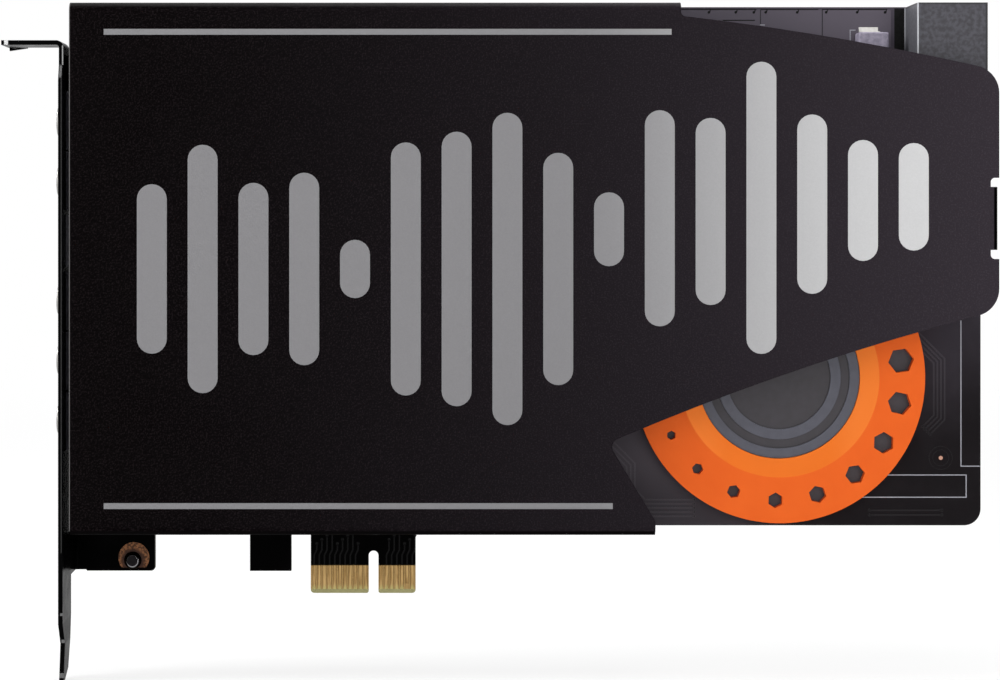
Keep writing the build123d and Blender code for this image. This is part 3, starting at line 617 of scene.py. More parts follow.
def bare_copper():
    """Brown copper with flecks of flux, and painted shade darkening it round the lower bracket screw."""
    look = Look("brown_copper", (0.2, 0.08, 0.03), 0.42, metallic=0.5, specular=0.2)
    fleck = look.ramp(look.noise(0.45 * MM), 0.38, 0.62)
    copper = look.mix(fleck, (0.045, 0.018, 0.008), (0.19, 0.08, 0.034))
    # Darker round the screw's hole: painted shade.
    screw_shade_share = look.ramp(look.distance(*middle(*islands("bracket_screws")[0])), *SCREW_SHADE_REACH)
    look.paint(look.mix(screw_shade_share, copper, (0.03, 0.012, 0.007)))
    look.bump(look.noise(0.25 * MM), 0.02 * MM)
    return look


# Looks of metal parts


def plated(name, low, high, roughness, softened):
    """Plated or solid metal with an uneven bloom."""
    look = Look(name, high, roughness, metallic=1.0)
    look.colour = look.mix(look.noise(0.6 * MM), low, high)
    look.paint(look.colour)
    look.vary_roughness(look.noise(0.4 * MM), roughness - 0.08, roughness + 0.12)
    look.soften_edges(softened)
    return look


def screw_steel():
    """Black plated steel, rubbed bright on the chamfered tips."""
    look = plated("black_screw", (0.006, 0.0055, 0.006), (0.014, 0.013, 0.014), 0.14, 0.1 * MM)
    chamfer = look.band(look.part(look.facing, "Y"), -0.8, -0.6, 0.05)
    look.paint(look.mix(chamfer, look.colour, (0.3, 0.29, 0.3)))
    return look


def drawn_aluminium():
    """Bright can metal with marks of drawing."""
    look = Look("drawn_aluminium", (0.72, 0.72, 0.74), 0.28, metallic=1.0)
    streak = look.noise(0.3 * MM, stretch=(1, 0.05, 1))
    look.paint(look.mix(streak, (0.58, 0.58, 0.6), (0.78, 0.78, 0.8)))
    look.vary_roughness(streak, 0.2, 0.38)
    look.soften_edges(0.2 * MM)
    return look


# Looks of the plastics
DISH_RADIUS = mm(19.35, 19.05)
DISH_ASIDE = mm(9, 15)
INLET_SIDE = mm(0.24, 0.12)
INLET_END = mm(-0.5, -0.25)
INLET_TOP = mm(-0.4, -0.15)
INLET_FRONT = mm(0.6, 0.2)
INLET_FOOT = mm(-1, -0.6)


def orange_plastic():
    """Orange plastic, yellower on the dished band, and paler at the band's left and right as painted light.
    """
    look = Look("orange_plastic", (0.87, 0.16, 0.026), 0.42, specular=0.06)
    cloud = look.noise(5 * MM)
    outer = look.mix(cloud, (0.72, 0.106, 0.013), (0.79, 0.13, 0.017))
    inner = look.mix(cloud, (0.81, 0.163, 0.016), (0.86, 0.184, 0.019))
    # Paler towards the band's left and right: painted light that evens out its shading.
    aside = look.ramp(look.away("X", RING_X), *DISH_ASIDE)
    inner = look.mix(aside, inner, (0.86, 0.198, 0.028))
    look.paint(look.mix(look.ramp(look.distance(RING_X, RING_Z), *DISH_RADIUS), outer, inner))
    look.vary_roughness(look.noise(0.8 * MM), 0.36, 0.46)
    look.soften_edges(0.15 * MM)
    look.bump(look.noise(0.25 * MM), 0.006 * MM)
    return look


def moulded(name, low, high, roughness, grain, specular=0.35):
    """Moulded plastic, resin or pressed powder with a fine grain."""
    look = Look(name, high, roughness, specular=specular)
    look.colour = look.mix(look.ramp(look.noise(grain * 3), 0.3, 0.7), low, high)
    look.paint(look.colour)
    look.vary_roughness(look.noise(grain * 2), roughness - 0.07, roughness + 0.07)
    look.soften_edges(0.12 * MM)
    look.bump(look.noise(grain), 0.012 * MM)
    return look


def housing_plastic():
    """Black moulded plastic; on the power inlet the left face is lighter as painted light, its two near edges
    carry painted highlights, and its right and top edges painted shade.
    """
    look = moulded("moulded_black", (0.038, 0.037, 0.043), (0.066, 0.064, 0.077), 0.42, 0.25 * MM, 0.22)
    # Painted light makes the inlet's left face lighter.
    at_side = look.ramp(look.away("X", inlet_low.x), *INLET_SIDE)
    plastic = look.mix(at_side, look.colour, (0.092, 0.092, 0.104))
    # Painted shade along the inlet's right and top edges.
    at_end = look.fade("X", INLET_END, inlet_high.x)
    at_top = look.fade("Z", INLET_TOP, inlet_high.z)
    plastic = look.mix(look.math("MAXIMUM", at_end, at_top), plastic, (0.02, 0.02, 0.023))
    # Painted highlights along the front and foot edges of the inlet's left face.
    at_front = look.fade("Y", INLET_FRONT, inlet_low.y)
    at_foot = look.fade("Y", INLET_FOOT, FRONT_Y, end=0.6)
    pale = look.product(at_side, look.math("MAXIMUM", at_front, at_foot))
    look.paint(look.mix(pale, plastic, (0.5, 0.51, 0.54)))
    return look


def red_emitter():
    """Clear red resin."""
    look = Look("red_emitter", (0.42, 0.02, 0.02), 0.12)
    look.paint(look.mix(look.noise(0.8 * MM), (0.3, 0.012, 0.012), (0.5, 0.03, 0.025)))
    look.set("Coat Weight", 0.5)
    return look


looks = {
    "board": board_mask(),
    "gold": gold_plate(),
    "nickel": plated("nickel_plate", (0.27, 0.265, 0.26), (0.38, 0.37, 0.365), 0.4, 0.08 * MM),
    "bracket_paint": bracket_paint(),
    "shield_paint": shield_paint(),
    "screw_steel": screw_steel(),
    "smoked_plastic": moulded(
        "smoked_plastic", (0.046, 0.042, 0.047), (0.051, 0.046, 0.053), 0.36, 0.5 * MM, 0.2
    ),
    "orange_plastic": orange_plastic(),
    "moulded_black": housing_plastic(),
    "tin": plated("tin_plate", (0.34, 0.33, 0.32), (0.5, 0.49, 0.47), 0.36, 0.05 * MM),
    "emitter": red_emitter(),
    "chip": moulded("chip_epoxy", (0.012, 0.012, 0.013), (0.028, 0.028, 0.029), 0.5, 0.15 * MM),
    "ferrite": moulded("ferrite", (0.22, 0.2, 0.265), (0.33, 0.3, 0.385), 0.5, 0.3 * MM),
    "can": drawn_aluminium(),
    "film": moulded("film_capacitor", (0.42, 0.34, 0.2), (0.5, 0.42, 0.27), 0.42, 0.3 * MM),
    "ceramic": moulded("fired_ceramic", (0.3, 0.2, 0.12), (0.4, 0.28, 0.18), 0.4, 0.2 * MM),
}
print_look = print_ink()
copper_look = copper_mask()
silk_look = silkscreen()
pad_look = bare_copper()
solder_look = plated("solder", (0.42, 0.42, 0.42), (0.66, 0.66, 0.66), 0.28, 0.05 * MM)
test_look = plated("pink_copper", (0.34, 0.17, 0.12), (0.5, 0.29, 0.22), 0.34, 0.05 * MM)
slate_look = moulded("slate_plastic", (0.068, 0.068, 0.088), (0.076, 0.077, 0.099), 0.4, 0.4 * MM)
black_ink_look = moulded("black_ink", (0.003, 0.003, 0.003), (0.006, 0.006, 0.006), 0.5, 0.2 * MM, 0.1)
for subpart in frame["record"]["subparts"]:
    slots = frame["nodes"][subpart["node"]].data.materials
    slots.clear()
    slots.append(looks[subpart["material_slot"]].material)


# Print on the shield: level bars about a rising middle line, between two pinstripes
BAR_COUNT = 16
BAR_PITCH = 9.5 * MM
BAR_WIDTH = 5.6 * MM
FIRST_BAR = 15.5 * MM
BAR_LEAST = 5 * MM
BAR_MOST = 37 * MM
BAR_SLOW_WAVE = (0.3, 1.15, 0.4)
BAR_FAST_WAVE = (0.2, 2.7, 0)
BAR_MEAN = 0.5
BAR_FADE = 0.45
BAR_CAP_POINTS = 13
PRINT_MARGIN = 6 * MM
STRIPE_WIDTH = 1.1 * MM
STRIPE_INSET = 5.6 * MM
STRIPE_START = 6.5 * MM
TOP_STRIPE_END = 56 * MM
BOTTOM_STRIPE_END = 45 * MM
EDGE_PLACES = mm(44.2, 57.8, 117.3)
UPPER_EDGE = mm(110.5, 110.5, 100.2)
LOWER_EDGE = mm(30.6, 36.5, 55.4)


def edge_height(x, heights, left_height):
    """The height of the shield's upper or lower edge at a place along it."""
    if x <= EDGE_PLACES[0]:
        return left_height
    index = 0 if x <= EDGE_PLACES[1] else 1
    share = (x - EDGE_PLACES[index]) / (EDGE_PLACES[index + 1] - EDGE_PLACES[index])
    return heights[index] + share * (heights[index + 1] - heights[index])


def shield_print():
    """Silver bars and pinstripes on the shield's face."""
    mesh = bmesh.new()
    for index in range(BAR_COUNT):
        x = shield_low.x + FIRST_BAR + BAR_PITCH * index
        top = edge_height(x, UPPER_EDGE, shield_high.z) - PRINT_MARGIN
        bottom = edge_height(x, LOWER_EDGE, shield_low.z) + PRINT_MARGIN
        swell = BAR_MEAN
        for size, rate, start in (BAR_SLOW_WAVE, BAR_FAST_WAVE):
            swell += size * math.sin(rate * index + start)
        fade = 1 - BAR_FADE + BAR_FADE * math.sin(math.pi * index / (BAR_COUNT - 1))
        half = BAR_LEAST + (BAR_MOST - BAR_LEAST) * swell * fade
        half = min(half, (top - bottom) / 2) - BAR_WIDTH / 2
        centre = (top + bottom) / 2
        outline = circle(x, centre + half, BAR_WIDTH / 2, BAR_CAP_POINTS, 0, math.pi)
        outline += circle(x, centre - half, BAR_WIDTH / 2, BAR_CAP_POINTS, math.pi, math.pi)
        add_slab(mesh, outline, SHIELD_FACE, INK)
    start = shield_low.x + STRIPE_START
    top = shield_high.z - STRIPE_INSET
    bottom = shield_low.z + STRIPE_INSET
    for z, end in ((top, TOP_STRIPE_END), (bottom, BOTTOM_STRIPE_END)):
        add_strip(mesh, [(start, z), (end, z)], STRIPE_WIDTH, SHIELD_FACE, INK)
    add_piece("shield_print", mesh, "shield_paint", print_look)


shield_print()

# Centre of the ring: two raised slate circles on the dark disc
SLATE_CIRCLES = (mm(10, 12), mm(13.7, 15.6))
SLATE_RISE = 0.3 * MM
SLATE_SIDES = 96


def slate_circles():
    """The circles inside the orange ring."""
    mesh = bmesh.new()
    for inner, outer in SLATE_CIRCLES:
        add_annulus(mesh, RING_X, RING_Z, inner, outer, (disc_low.y, FRONT), SLATE_RISE, SLATE_SIDES)
    add_piece("ring_slate_circles", mesh, "smoked_plastic", slate_look)


slate_circles()

# Solder joints round every lead that comes through the board
JOINT_SPREAD = 0.75 * MM
JOINT_RISE = 0.9 * MM
JOINT_NECK = 0.04 * MM
JOINT_CURVE = 2.2
JOINT_CORNER = 1.5
JOINT_STEPS = 5
JOINT_SIDES = 20
JACK_LEG = 0.3 * MM


def lead_ends():
    """The middle and the half sizes of each lead where it leaves the solder side."""
    for node in ("power_inlet_pins", "optical_output_pins"):
        for low, high in islands(node):
            half = (high.x - low.x) / 2
            yield (low.x + half, low.z + half, half, half)
    for number in JACKS:
        jack_low, jack_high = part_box(f"jack_{number}_housing")
        for low, high in islands(f"jack_{number}_contacts"):
            is_upper = low.z + high.z > jack_low.z + jack_high.z
            z = high.z - JACK_LEG / 2 if is_upper else low.z + JACK_LEG / 2
            yield ((low.x + high.x) / 2, z, (high.x - low.x) / 2, JACK_LEG / 2)


def solder_joints():
    """A cone of solder round each lead."""
    mesh = bmesh.new()
    for x, z, half_x, half_z in lead_ends():
        rings = []
        for step in range(JOINT_STEPS + 1):
            share = step / JOINT_STEPS
            spread = JOINT_SPREAD * (1 - share) ** JOINT_CURVE + JOINT_NECK
            outline = []
            for across, up in circle(0, 0, 1, JOINT_SIDES):
                reach_x = half_x * max(min(JOINT_CORNER * across, 1), -1)
                reach_z = half_z * max(min(JOINT_CORNER * up, 1), -1)
                outline.append((x + reach_x + spread * across, z + reach_z + spread * up))
            rings.append(raised(outline, BACK_Y + JOINT_RISE * share))
        join_rings(mesh, rings)
    smooth(add_piece("solder_joints", mesh, "tin", solder_look))


solder_joints()

# Pads round the screws: brown copper at the bracket, tin under the shield's screw heads
PAD_RADIUS = 3 * MM
PAD_HOLE = 1.7 * MM
PAD_SHIFT_X = 0.2 * MM
PAD_SHIFT_Z = 0.5 * MM
PAD_EDGE = 5 * MM
HEAD_PAD = mm(1.6, 3.1)
HEAD_PAD_SIDES = 40


def screw_pads():
    """Open pads on both faces of the board."""
    mesh = bmesh.new()
    for low, high in islands("bracket_screws"):
        x, z = middle(low, high)
        outer = circle(x + PAD_SHIFT_X, z + PAD_SHIFT_Z, PAD_RADIUS)
        outer = [(across, max(up, PAD_EDGE)) for across, up in outer]
        inner = circle(x, z, PAD_HOLE)
        inner = [(across, max(up, PAD_EDGE + INK)) for across, up in inner]
        add_pierced(mesh, outer, inner, FRONT_FACE, COPPER)
    add_piece("bracket_screw_pads", mesh, "gold", pad_look)
    mesh = bmesh.new()
    for low, high in islands("shield_screws"):
        add_annulus(mesh, *middle(low, high), *HEAD_PAD, BACK_FACE, COPPER, HEAD_PAD_SIDES)
    add_piece("shield_screw_pads", mesh, "tin")


screw_pads()

# Screws with domed heads, threads and chamfered tips, and black crosses painted on the heads as the shade of
# cross recesses
THREAD_PITCH = 0.5 * MM
THREAD_RISE = 0.1 * MM
THREAD_START = 0.3 * MM
THREAD_CREST = (0.4 * THREAD_PITCH, 0.55 * THREAD_PITCH)
TIP_RISE = 0.44 * MM
TIP_SHARE = 0.724
DOME_STEPS = 6
DOME_FLAT = 0.45
DOME_DROP = 0.8 * MM
RECESS_REACH = 1.15 * MM
RECESS_HALF = 0.28 * MM
SCREW_SIDES = 32

# Radius of each shank, and the radius and height of its head
BRACKET_SCREW = mm(1.45, 1.95, 1.9)
SHIELD_SCREW = mm(1.2, 2.25, 1.6)


def plus_sign(x, z, reach, half):
    """The outline of a cross."""
    arm = [(half, half), (reach, half), (reach, -half)]
    points = []
    for _ in range(4):
        points += [(x + across, z + up) for across, up in arm]
        arm = [(up, -across) for across, up in arm]
    return points


def screw_bodies(node, radius, head_radius, head_height):
    """The screws of one node."""
    mesh = bmesh.new()
    recess_shade = bmesh.new()
    flat = head_radius * DOME_FLAT
    for low, high in islands(node):
        x, z = middle(low, high)
        profile = []
        for step in range(DOME_STEPS + 1):
            turn = math.pi / 2 * step / DOME_STEPS
            reach = flat + (head_radius - flat) * math.sin(turn)
            profile.append((reach, high.y - DOME_DROP * (1 - math.cos(turn))))
        profile += [(head_radius, high.y - head_height), (radius, high.y - head_height)]
        y = FRONT_Y + THREAD_START
        while y - THREAD_PITCH > low.y:
            profile.append((radius, y))
            profile += [(radius + THREAD_RISE, y - drop) for drop in THREAD_CREST]
            y -= THREAD_PITCH
        profile += [(radius, low.y), (radius * TIP_SHARE, low.y - TIP_RISE)]
        join_rings(mesh, [raised(circle(x, z, reach, SCREW_SIDES), depth) for reach, depth in profile])
        # A flat black cross on each head stands for the shade in its cross recess: painted shade.
        add_slab(recess_shade, plus_sign(x, z, RECESS_REACH, RECESS_HALF), (high.y, BACK), INK)
    screws = add_piece(f"{node}_turned", mesh, "screw_steel")
    smooth(screws)
    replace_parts(screws, node)
    add_piece(f"{node}_recesses", recess_shade, "screw_steel", black_ink_look)


screw_bodies("bracket_screws", *BRACKET_SCREW)
screw_bodies("shield_screws", *SHIELD_SCREW)

# Turned faces on the jack bushings
BUSHING_BORE = 1.8 * MM
BUSHING_EDGE = 0.25 * MM
BUSHING_ROUND = 0.3 * BUSHING_EDGE
BUSHING_MOUTH = 0.3 * MM
BUSHING_GROOVE = 0.1 * MM
GROOVE_SHARES = (2.2, 2.0, 1.4)
BUSHING_SIDES = 64


def jack_bushing(number):
    """A turned bushing with a rounded rim, a groove and a flared mouth."""
    node = f"jack_{number}_bushing"
    low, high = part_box(node)
    y = (low.y + high.y) / 2
    z = (low.z + high.z) / 2
    outer = (high.z - low.z) / 2
    rim, floor_outer, floor_inner = [BUSHING_BORE + share * BUSHING_MOUTH for share in GROOVE_SHARES]
    profile = (
        (BUSHING_BORE, high.x),
        (outer, high.x),
        (outer, low.x + BUSHING_EDGE),
        (outer - BUSHING_ROUND, low.x + BUSHING_ROUND),
        (outer - BUSHING_EDGE, low.x),
        (rim, low.x),
        (floor_outer, low.x + BUSHING_GROOVE),
        (floor_inner, low.x + BUSHING_GROOVE),
        (BUSHING_BORE + BUSHING_MOUTH, low.x),
        (BUSHING_BORE, low.x + BUSHING_MOUTH),
    )
    mesh = bmesh.new()
    rings = []
    for radius, x in profile:
        rings.append([(x, across, up) for across, up in circle(y, z, radius, BUSHING_SIDES)])
    join_rings(mesh, rings, closed=True)
    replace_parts(add_piece(f"jack_{number}_turned_bushing", mesh, "nickel"), node)


for jack in JACKS:
    jack_bushing(jack)

# Plated ends of the small parts and plated leads of the chips
END_LENGTH = {"ceramic_capacitors": 0.35 * MM, "chip_resistors": 0.35 * MM, "coupling_capacitors": 1.0 * MM}
LEADED_CHIPS = (("op_amps", 4), ("headphone_amplifier", 8))
LEAD_PITCH = 1.27 * MM
LEAD_WIDTH = 0.42 * MM
LEAD_REACH = 1 * MM
LEAD_FOOT = 0.18 * MM
LEAD_SHOULDER = 0.6 * MM


def chip_ends():
    """Caps of plating on both ends of the two-terminal parts."""
    mesh = bmesh.new()
    for node, length in END_LENGTH.items():
        for low, high in islands(node):
            for end_low, end_high in ((low.z - SKIN, low.z + length), (high.z - length, high.z + SKIN)):
                outline = rectangle(low.x - SKIN, high.x + SKIN, end_low, end_high)
                add_slab(mesh, outline, FRONT_FACE, FRONT_Y - low.y + SKIN)
    add_piece("chip_part_ends", mesh, "tin")


def chip_leads():
    """Plating over the bent leads of the chips."""
    mesh = bmesh.new()
    for node, count in LEADED_CHIPS:
        for low, high in islands(node):
            for index in range(count):
                x = (low.x + high.x) / 2 + LEAD_PITCH * (index - (count - 1) / 2)
                for toe, out in ((low.z, -1), (high.z, 1)):
                    side = (
                        (FRONT_Y, toe + out * SKIN),
                        (FRONT_Y - LEAD_FOOT - SKIN, toe + out * SKIN),
                        (FRONT_Y - LEAD_SHOULDER - SKIN, toe - out * LEAD_REACH),
                        (FRONT_Y, toe - out * LEAD_REACH),
                    )
                    ends = (x - LEAD_WIDTH / 2 - SKIN, x + LEAD_WIDTH / 2 + SKIN)
                    join_rings(mesh, [[(end, y, z) for y, z in side] for end in ends])
    add_piece("chip_lead_plating", mesh, "tin")


chip_ends()
chip_leads()

# Coils with small rounded corners
COIL_WIDTH = 5.8 * MM
COIL_CORNER = 0.35 * MM
COIL_BEVEL = 0.25 * MM


def power_coils():
    """The pressed blocks of the coils."""
    mesh = bmesh.new()
    for low, high in islands("power_inductors"):
        left = high.x - COIL_WIDTH
        outline = rounded(left, high.x, low.z, high.z, COIL_CORNER)
        inner = (left + COIL_BEVEL, high.x - COIL_BEVEL, low.z + COIL_BEVEL, high.z - COIL_BEVEL)
        top = rounded(*inner, COIL_CORNER)
        join_rings(mesh, [raised(outline, high.y), raised(outline, low.y + COIL_BEVEL), raised(top, low.y)])
    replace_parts(add_piece("power_coil_blocks", mesh, "ferrite"), "power_inductors")


power_coils()

# Dots that show the first lead of each chip, and the marked side of each can
DOT_RADIUS = 0.35 * MM
DOT_INSET_X = 1 * MM
DOT_INSET_Z = 2 * MM
DOT_SIDES = 20
CONVERTERS = ("playback_converter", "recording_converter")
DOTTED_CHIPS = ("audio_processor", "bus_bridge_chip", *CONVERTERS, "headphone_amplifier", "op_amps")
CAN_MARK_INSET = 0.5 * MM
CAN_MARK_POINTS = 24
CAN_MARK_START = math.radians(50)
CAN_MARK_SWEEP = math.radians(80)


def polarity_marks():
    """Pale dots on the chips and a filled segment on each can."""
    mesh = bmesh.new()
    for node in DOTTED_CHIPS:
        for low, high in islands(node):
            dot = circle(low.x + DOT_INSET_X, low.z + DOT_INSET_Z, DOT_RADIUS, DOT_SIDES)
            add_slab(mesh, dot, (low.y, FRONT), INK)
    add_piece("chip_dots", mesh, "chip", silk_look)
    mesh = bmesh.new()
    for low, high in islands("reservoir_capacitor_cans"):
        radius = (high.x - low.x) / 2 - CAN_MARK_INSET
        segment = circle(*middle(low, high), radius, CAN_MARK_POINTS, CAN_MARK_START, CAN_MARK_SWEEP)
        add_slab(mesh, segment, (low.y, FRONT), INK)
    add_piece("can_marks", mesh, "can", black_ink_look)


polarity_marks()

# Copper on the component side, where the shield leaves the board open
POUR_GAP = 0.07 * MM
POUR_TOP = 112.9 * MM
POUR_BOTTOM = 92 * MM
POUR_EDGES = mm(58.6, 74.9, 86.85, 100.2)
POURS = list(zip(POUR_EDGES, POUR_EDGES[1:]))
VIA_RADIUS = 0.32 * MM
VIA_HOLE = 0.2 * MM
VIA_SIDES = 14
VIA_HOLE_SIDES = 10
TOP_VIAS = mm(64.9, 70.1, 73.6, 75.9, 82, 87.6, 93.6, 99)
TOP_VIA_Z = 112.45 * MM
TOP_VIA_HOLE = 0.26 * MM
TOP_VIA_TAIL = 0.3 * MM
GAP_RISE = 0.05 * MM
RIM_GAP_Z = 113 * MM
RIM_GAP_WIDTH = 0.2 * MM
RIM_GAP_BREAK = 0.75 * MM
POUR_LINE = 0.13 * MM
SHORT_GAP = (mm(67.6, 110.9), mm(73.8, 110.9))
TRACE_WIDTH = 0.3 * MM
COMPONENT_BUNDLES = (
    ([(104.5, 50), (109.5, 45), (109.5, 34), (107, 31.5)], 4, 0.7),
    ([(43.5, 30), (49, 24.5), (49, 19.5), (52, 16.5), (62, 16.5)], 5, 0.8),
    ([(96, 15.6), (110, 15.6)], 2, 0.9),
)
FINGER_TRACES = [index - 11.5 for index in range(9)] + [index + 2.5 for index in range(6)]
FINGER_LEAN = 0.5
FINGER_START = 5.5
FINGER_BEND = (7.4, 8.4)
FINGER_ENDS = (9.6, 10.4, 11.2, 12.0)


def add_via(rings, hole_shading, x, z, face):
    """One via: a raised ring, and a black disc painted in its hole as the hole's shade."""
    add_annulus(rings, x, z, VIA_HOLE, VIA_RADIUS, face, COPPER, VIA_SIDES)
    add_slab(hole_shading, circle(x, z, VIA_HOLE, VIA_HOLE_SIDES), face, COPPER / 2)


def add_bundle(mesh, route, count, pitch, face):
    """Parallel traces along one route in millimetres; gives back the places of their ends."""
    points = [(x * MM, z * MM) for x, z in route]
    ends = []
    for index in range(count):
        moved = offset_route(points, pitch * MM * (index - (count - 1) / 2))
        add_strip(mesh, moved, TRACE_WIDTH, face, COPPER)
        ends += [moved[0], moved[-1]]
    return ends


def component_copper():
    """Pours, traces and vias that show on the component side."""
    copper = bmesh.new()
    hole_shading = bmesh.new()
    for left, right in POURS:
        outline = rectangle(left + POUR_GAP, right - POUR_GAP, POUR_BOTTOM, POUR_TOP)
        add_slab(copper, outline, FRONT_FACE, COPPER)
    ends = []
    for index, x in enumerate(FINGER_TRACES):
        leaning = x + FINGER_LEAN
        end = FINGER_ENDS[index % len(FINGER_ENDS)]
        route = [(x, FINGER_START), (x, FINGER_BEND[0]), (leaning, FINGER_BEND[1]), (leaning, end)]
        ends += add_bundle(copper, route, 1, 0, FRONT_FACE)[1:]
    for route, count, pitch in COMPONENT_BUNDLES:
        ends += add_bundle(copper, route, count, pitch, FRONT_FACE)
    for x, z in ends:
        add_via(copper, hole_shading, x, z, FRONT_FACE)
    add_piece("component_side_copper", copper, "board", copper_look)
    add_piece("component_side_via_hole_shade", hole_shading, "board", black_ink_look)


component_copper()


def pour_gaps():
    """Dark gaps round the pours, and the vias that hang from them along the upper edge, drawn as black discs
    of painted shade.
    """
    mesh = bmesh.new()
    for left, right in POURS:
        rim = [(left, RIM_GAP_Z), (right - RIM_GAP_BREAK, RIM_GAP_Z)]
        add_strip(mesh, rim, RIM_GAP_WIDTH, FRONT_FACE, GAP_RISE)
        if left > POUR_EDGES[0]:
            side = [(left, POUR_BOTTOM), (left, RIM_GAP_Z)]
            add_strip(mesh, side, POUR_LINE, FRONT_FACE, GAP_RISE)
    for x in TOP_VIAS:
        # Each top via is a black disc: painted shade of its hole.
        add_slab(mesh, circle(x, TOP_VIA_Z, TOP_VIA_HOLE, VIA_SIDES), FRONT_FACE, GAP_RISE)
        tail = [(x + TOP_VIA_TAIL / 2, TOP_VIA_Z), (x + TOP_VIA_TAIL, RIM_GAP_Z)]
        add_strip(mesh, tail, RIM_GAP_WIDTH, FRONT_FACE, GAP_RISE)
    add_strip(mesh, SHORT_GAP, RIM_GAP_WIDTH, FRONT_FACE, GAP_RISE)
    add_piece("component_side_gaps", mesh, "board", black_ink_look)


pour_gaps()

# Ink on the component side
INK_LINE = 0.19 * MM
MARGIN_LINE = [(113.7, 52.9), (113.7, 24.6), (117.4, 24.6)]
FIELD_LINE = [(92.5, 18.6), (114.7, 18.6), (114.7, 22.9), (97.5, 22.9)]
STRAY_LINE = [(74.8, 110), (75.75, 110)]
COIL_MARK_GAP = 0.25 * MM
COIL_MARK_RISE = 0.65 * MM
COIL_MARK_DROP = 2 * MM
COIL_MARK_RUN = 0.8 * MM
INLET_SHADOW_X = mm(100.8, 102.7)
INLET_SHADOW_Z = mm(104, 113.2)
TEST_POINT = mm(109.8, 26.2)
TEST_POINT_RADIUS = 0.4 * MM
TEST_POINT_RINGS = mm(1.5, 2.2)
TEST_POINT_SIDES = 24


def component_ink():
    """Legend lines, a black patch painted as a shadow beside the inlet, and a test point."""
    mesh = bmesh.new()
    lines = [[(x * MM, z * MM) for x, z in line] for line in (MARGIN_LINE, FIELD_LINE, STRAY_LINE)]
    for low, high in islands("power_inductors"):
        x = low.x - COIL_MARK_GAP
        z = high.z + COIL_MARK_RISE
        lines.append([(x, high.z - COIL_MARK_DROP), (x, z), (low.x + COIL_MARK_RUN, z)])
    for line in lines:
        add_strip(mesh, line, INK_LINE, FRONT_FACE, INK + COPPER)
    add_piece("component_side_ink", mesh, "board", silk_look)
    mesh = bmesh.new()
    # A black patch beside the inlet: painted shadow.
    add_slab(mesh, rectangle(*INLET_SHADOW_X, *INLET_SHADOW_Z), FRONT_FACE, INK)
    add_piece("inlet_painted_shadow", mesh, "board", black_ink_look)
    mesh = bmesh.new()
    add_slab(mesh, circle(*TEST_POINT, TEST_POINT_RADIUS, TEST_POINT_SIDES), FRONT_FACE, COPPER)
    add_piece("test_point", mesh, "gold", test_look)
    mesh = bmesh.new()
    for radius in TEST_POINT_RINGS:
        add_annulus(mesh, *TEST_POINT, radius, radius + INK_LINE / 2, FRONT_FACE, INK)
    add_piece("test_point_rings", mesh, "board", copper_look)


component_ink()

# Copper, vias and ink on the solder side
SOLDER_BUNDLES = (
    ([(-9, 10.5), (-9, 20), (-2, 27), (-2, 40), (8, 50), (8, 62)], 6, 0.9),
    ([(5, 10.5), (5, 17), (24, 36), (24, 52), (18, 58)], 5, 0.9),
    ([(-42, 35.5), (-30, 35.5), (-20, 45.5), (-20, 58), (-12, 66)], 4, 1.0),
    ([(-42, 47), (-36, 47), (-28, 55), (-28, 66), (-20, 74), (-8, 74)], 4, 1.0),
    ([(-42, 81), (-32, 81), (-25, 88), (-16, 88)], 4, 1.0),
    ([(-42, 92), (-34, 92), (-26, 100), (4, 100), (16, 88)], 3, 1.2),
    ([(26, 62), (40, 62), (52, 74), (70, 74), (82, 86), (96, 86)], 6, 1.0),
    ([(28, 56), (48, 56), (60, 44), (84, 44), (94, 34), (108, 34)], 5, 1.0),
    ([(14, 24), (34, 24), (42, 32), (66, 32), (76, 22), (104, 22)], 4, 1.1),
    ([(30, 98), (46, 98), (54, 106), (84, 106), (92, 98)], 3, 1.6),
    ([(60, 92), (66, 86), (66, 80)], 4, 1.0),
)
STITCH_PITCH = 7.5 * MM
STITCH_INSET = 1.5 * MM
STITCH_COUNT = 18
STITCH_START = -36 * MM
CONNECTOR_SPAN = mm(-15, 11)
JACK_INK_INSET = 3.2 * MM
INLET_INK_GAP = 1.6 * MM
INLET_INK_DEPTH = 5.3 * MM


def solder_copper():
    """Traces, vias and a row of stitching vias along the upper and lower edges."""
    copper = bmesh.new()
    hole_shading = bmesh.new()
    places = []
    for route, count, pitch in SOLDER_BUNDLES:
        places += add_bundle(copper, route, count, pitch, BACK_FACE)
    for index in range(STITCH_COUNT):
        x = STITCH_START + STITCH_PITCH * index
        places.append((x, board_high.z - STITCH_INSET))
        if not CONNECTOR_SPAN[0] < x < CONNECTOR_SPAN[1]:
            places.append((x, BOARD_BOTTOM + STITCH_INSET))
    for x, z in places:
        add_via(copper, hole_shading, x, z, BACK_FACE)
    add_piece("solder_side_copper", copper, "board", copper_look)
    add_piece("solder_side_via_hole_shade", hole_shading, "board", black_ink_look)


def solder_ink():
    """Outlines of the jacks and the power inlet."""
    mesh = bmesh.new()
    for number in JACKS:
        low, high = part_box(f"jack_{number}_housing")
        outline = rectangle(low.x + JACK_INK_INSET, high.x, low.z, high.z)
        add_strip(mesh, outline, INK_LINE, BACK_FACE, INK)
    low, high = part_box("power_inlet_pins")
    left = low.x - INLET_INK_GAP
    right = high.x + INLET_INK_GAP
    bottom = low.z - INLET_INK_GAP
    top = low.z + INLET_INK_DEPTH + INLET_INK_GAP
    outline = [(left, top), (left, bottom), (right, bottom), (right, top), (left + INK_LINE, top)]
    add_strip(mesh, outline, INK_LINE, BACK_FACE, INK)
    add_piece("solder_side_ink", mesh, "board", silk_look)


solder_copper()
solder_ink()

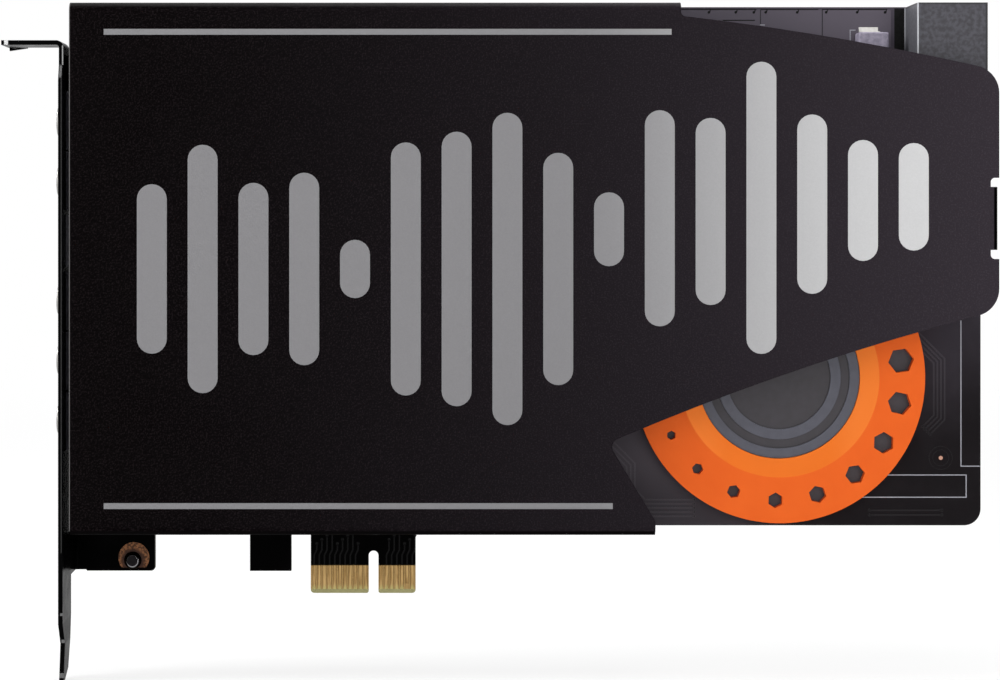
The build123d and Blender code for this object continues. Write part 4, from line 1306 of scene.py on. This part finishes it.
# Floor, light and camera
FLOOR_HALF = 6.0
FLOOR_WHITE = 0.9
SHADOW_REACH = 0.05
WHITE_REACH = 0.7
NEAR_WHITE = 0.76
SKY_FRONT = 0.03
SKY_BACK = 1.0
SKY_TURN = (-0.3, 0.5)
CENTRE = (0.03, 0, 0.055)

# Light panels: place, width, height and power
SOFTBOXES = {
    "key": ((0.36, -0.54, 0.4), 0.65, 0.65, 1.05),
    "fill": ((-0.75, -0.55, 0.35), 0.7, 0.7, 1.8),
    "front": ((0.05, -0.95, 0.14), 1.4, 1.1, 7.3),
    "top": ((0.05, -0.08, 0.85), 0.5, 0.5, 3.0),
    "left_strip": ((-0.62, -0.06, 0.32), 0.12, 0.6, 5.0),
    "right_strip": ((0.75, -0.02, 0.1), 0.06, 0.5, 1.0),
}


def floor():
    """A pale floor that keeps a soft shadow near the card and runs out to white."""
    mesh = bmesh.new()
    corners = rectangle(-FLOOR_HALF, FLOOR_HALF, -FLOOR_HALF, FLOOR_HALF)
    mesh.faces.new([mesh.verts.new((x, y, cad_low.z)) for x, y in corners])
    look = Look("pale_floor", (FLOOR_WHITE, FLOOR_WHITE, FLOOR_WHITE), 0.9, specular=0.0)
    path = look.node("ShaderNodeLightPath").outputs
    seen = look.math("MAXIMUM", path["Is Camera Ray"], path["Is Glossy Ray"])
    seen = look.math("MAXIMUM", seen, path["Is Transmission Ray"])
    distance = look.node("ShaderNodeVectorMath", Vector=look.place)
    distance.operation = "LENGTH"
    white_share = look.ramp(distance.outputs["Value"], SHADOW_REACH, WHITE_REACH, NEAR_WHITE, 1.0)
    blend = look.node("ShaderNodeMixShader")
    look.feed(blend.inputs[0], look.product(white_share, seen))
    look.feed(blend.inputs[1], look.shader.outputs[0])
    look.feed(blend.inputs[2], look.node("ShaderNodeEmission").outputs[0])
    look.feed(look.tree.nodes["Material Output"].inputs["Surface"], blend.outputs[0])
    new_object("floor", mesh, look)


def sky():
    """A white studio behind the card and a dim one in front of it, which keeps its blacks deep."""
    world = bpy.data.worlds.new("studio")
    bpy.context.scene.world = world
    world.use_nodes = True
    nodes = Nodes(world.node_tree)
    background = world.node_tree.nodes["Background"].inputs
    background["Color"].default_value = (1.0, 1.0, 1.0, 1.0)
    depth = nodes.part(nodes.node("ShaderNodeTexCoord").outputs["Generated"], "Y")
    nodes.feed(background["Strength"], nodes.ramp(depth, *SKY_TURN, SKY_FRONT, SKY_BACK))


def softbox(name, place, width, height, power):
    """A light panel that faces the card."""
    light = bpy.data.lights.new(name, "AREA")
    light.shape = "RECTANGLE"
    light.size = width
    light.size_y = height
    light.energy = power
    lamp = put_in_scene(name, light)
    lamp.location = place
    lamp.rotation_euler = (Vector(CENTRE) - Vector(place)).to_track_quat("-Z", "Y").to_euler()


def camera():
    """The view of the photo."""
    data = bpy.data.cameras.new("camera")
    data.sensor_width = CAMERA_SENSOR
    data.lens = CAMERA_LENS
    data.shift_x, data.shift_y = CAMERA_SHIFT
    data.clip_start = CAMERA_NEAR
    view = put_in_scene("camera", data)
    view.location = (CAMERA_X, FRONT_Y - CAMERA_DISTANCE, CAMERA_Z)
    view.rotation_euler = (math.pi / 2, 0, 0)
    bpy.context.scene.camera = view


floor()
sky()
for panel, values in SOFTBOXES.items():
    softbox(panel, *values)
camera()
bpy.context.scene.view_settings.view_transform = "Standard"
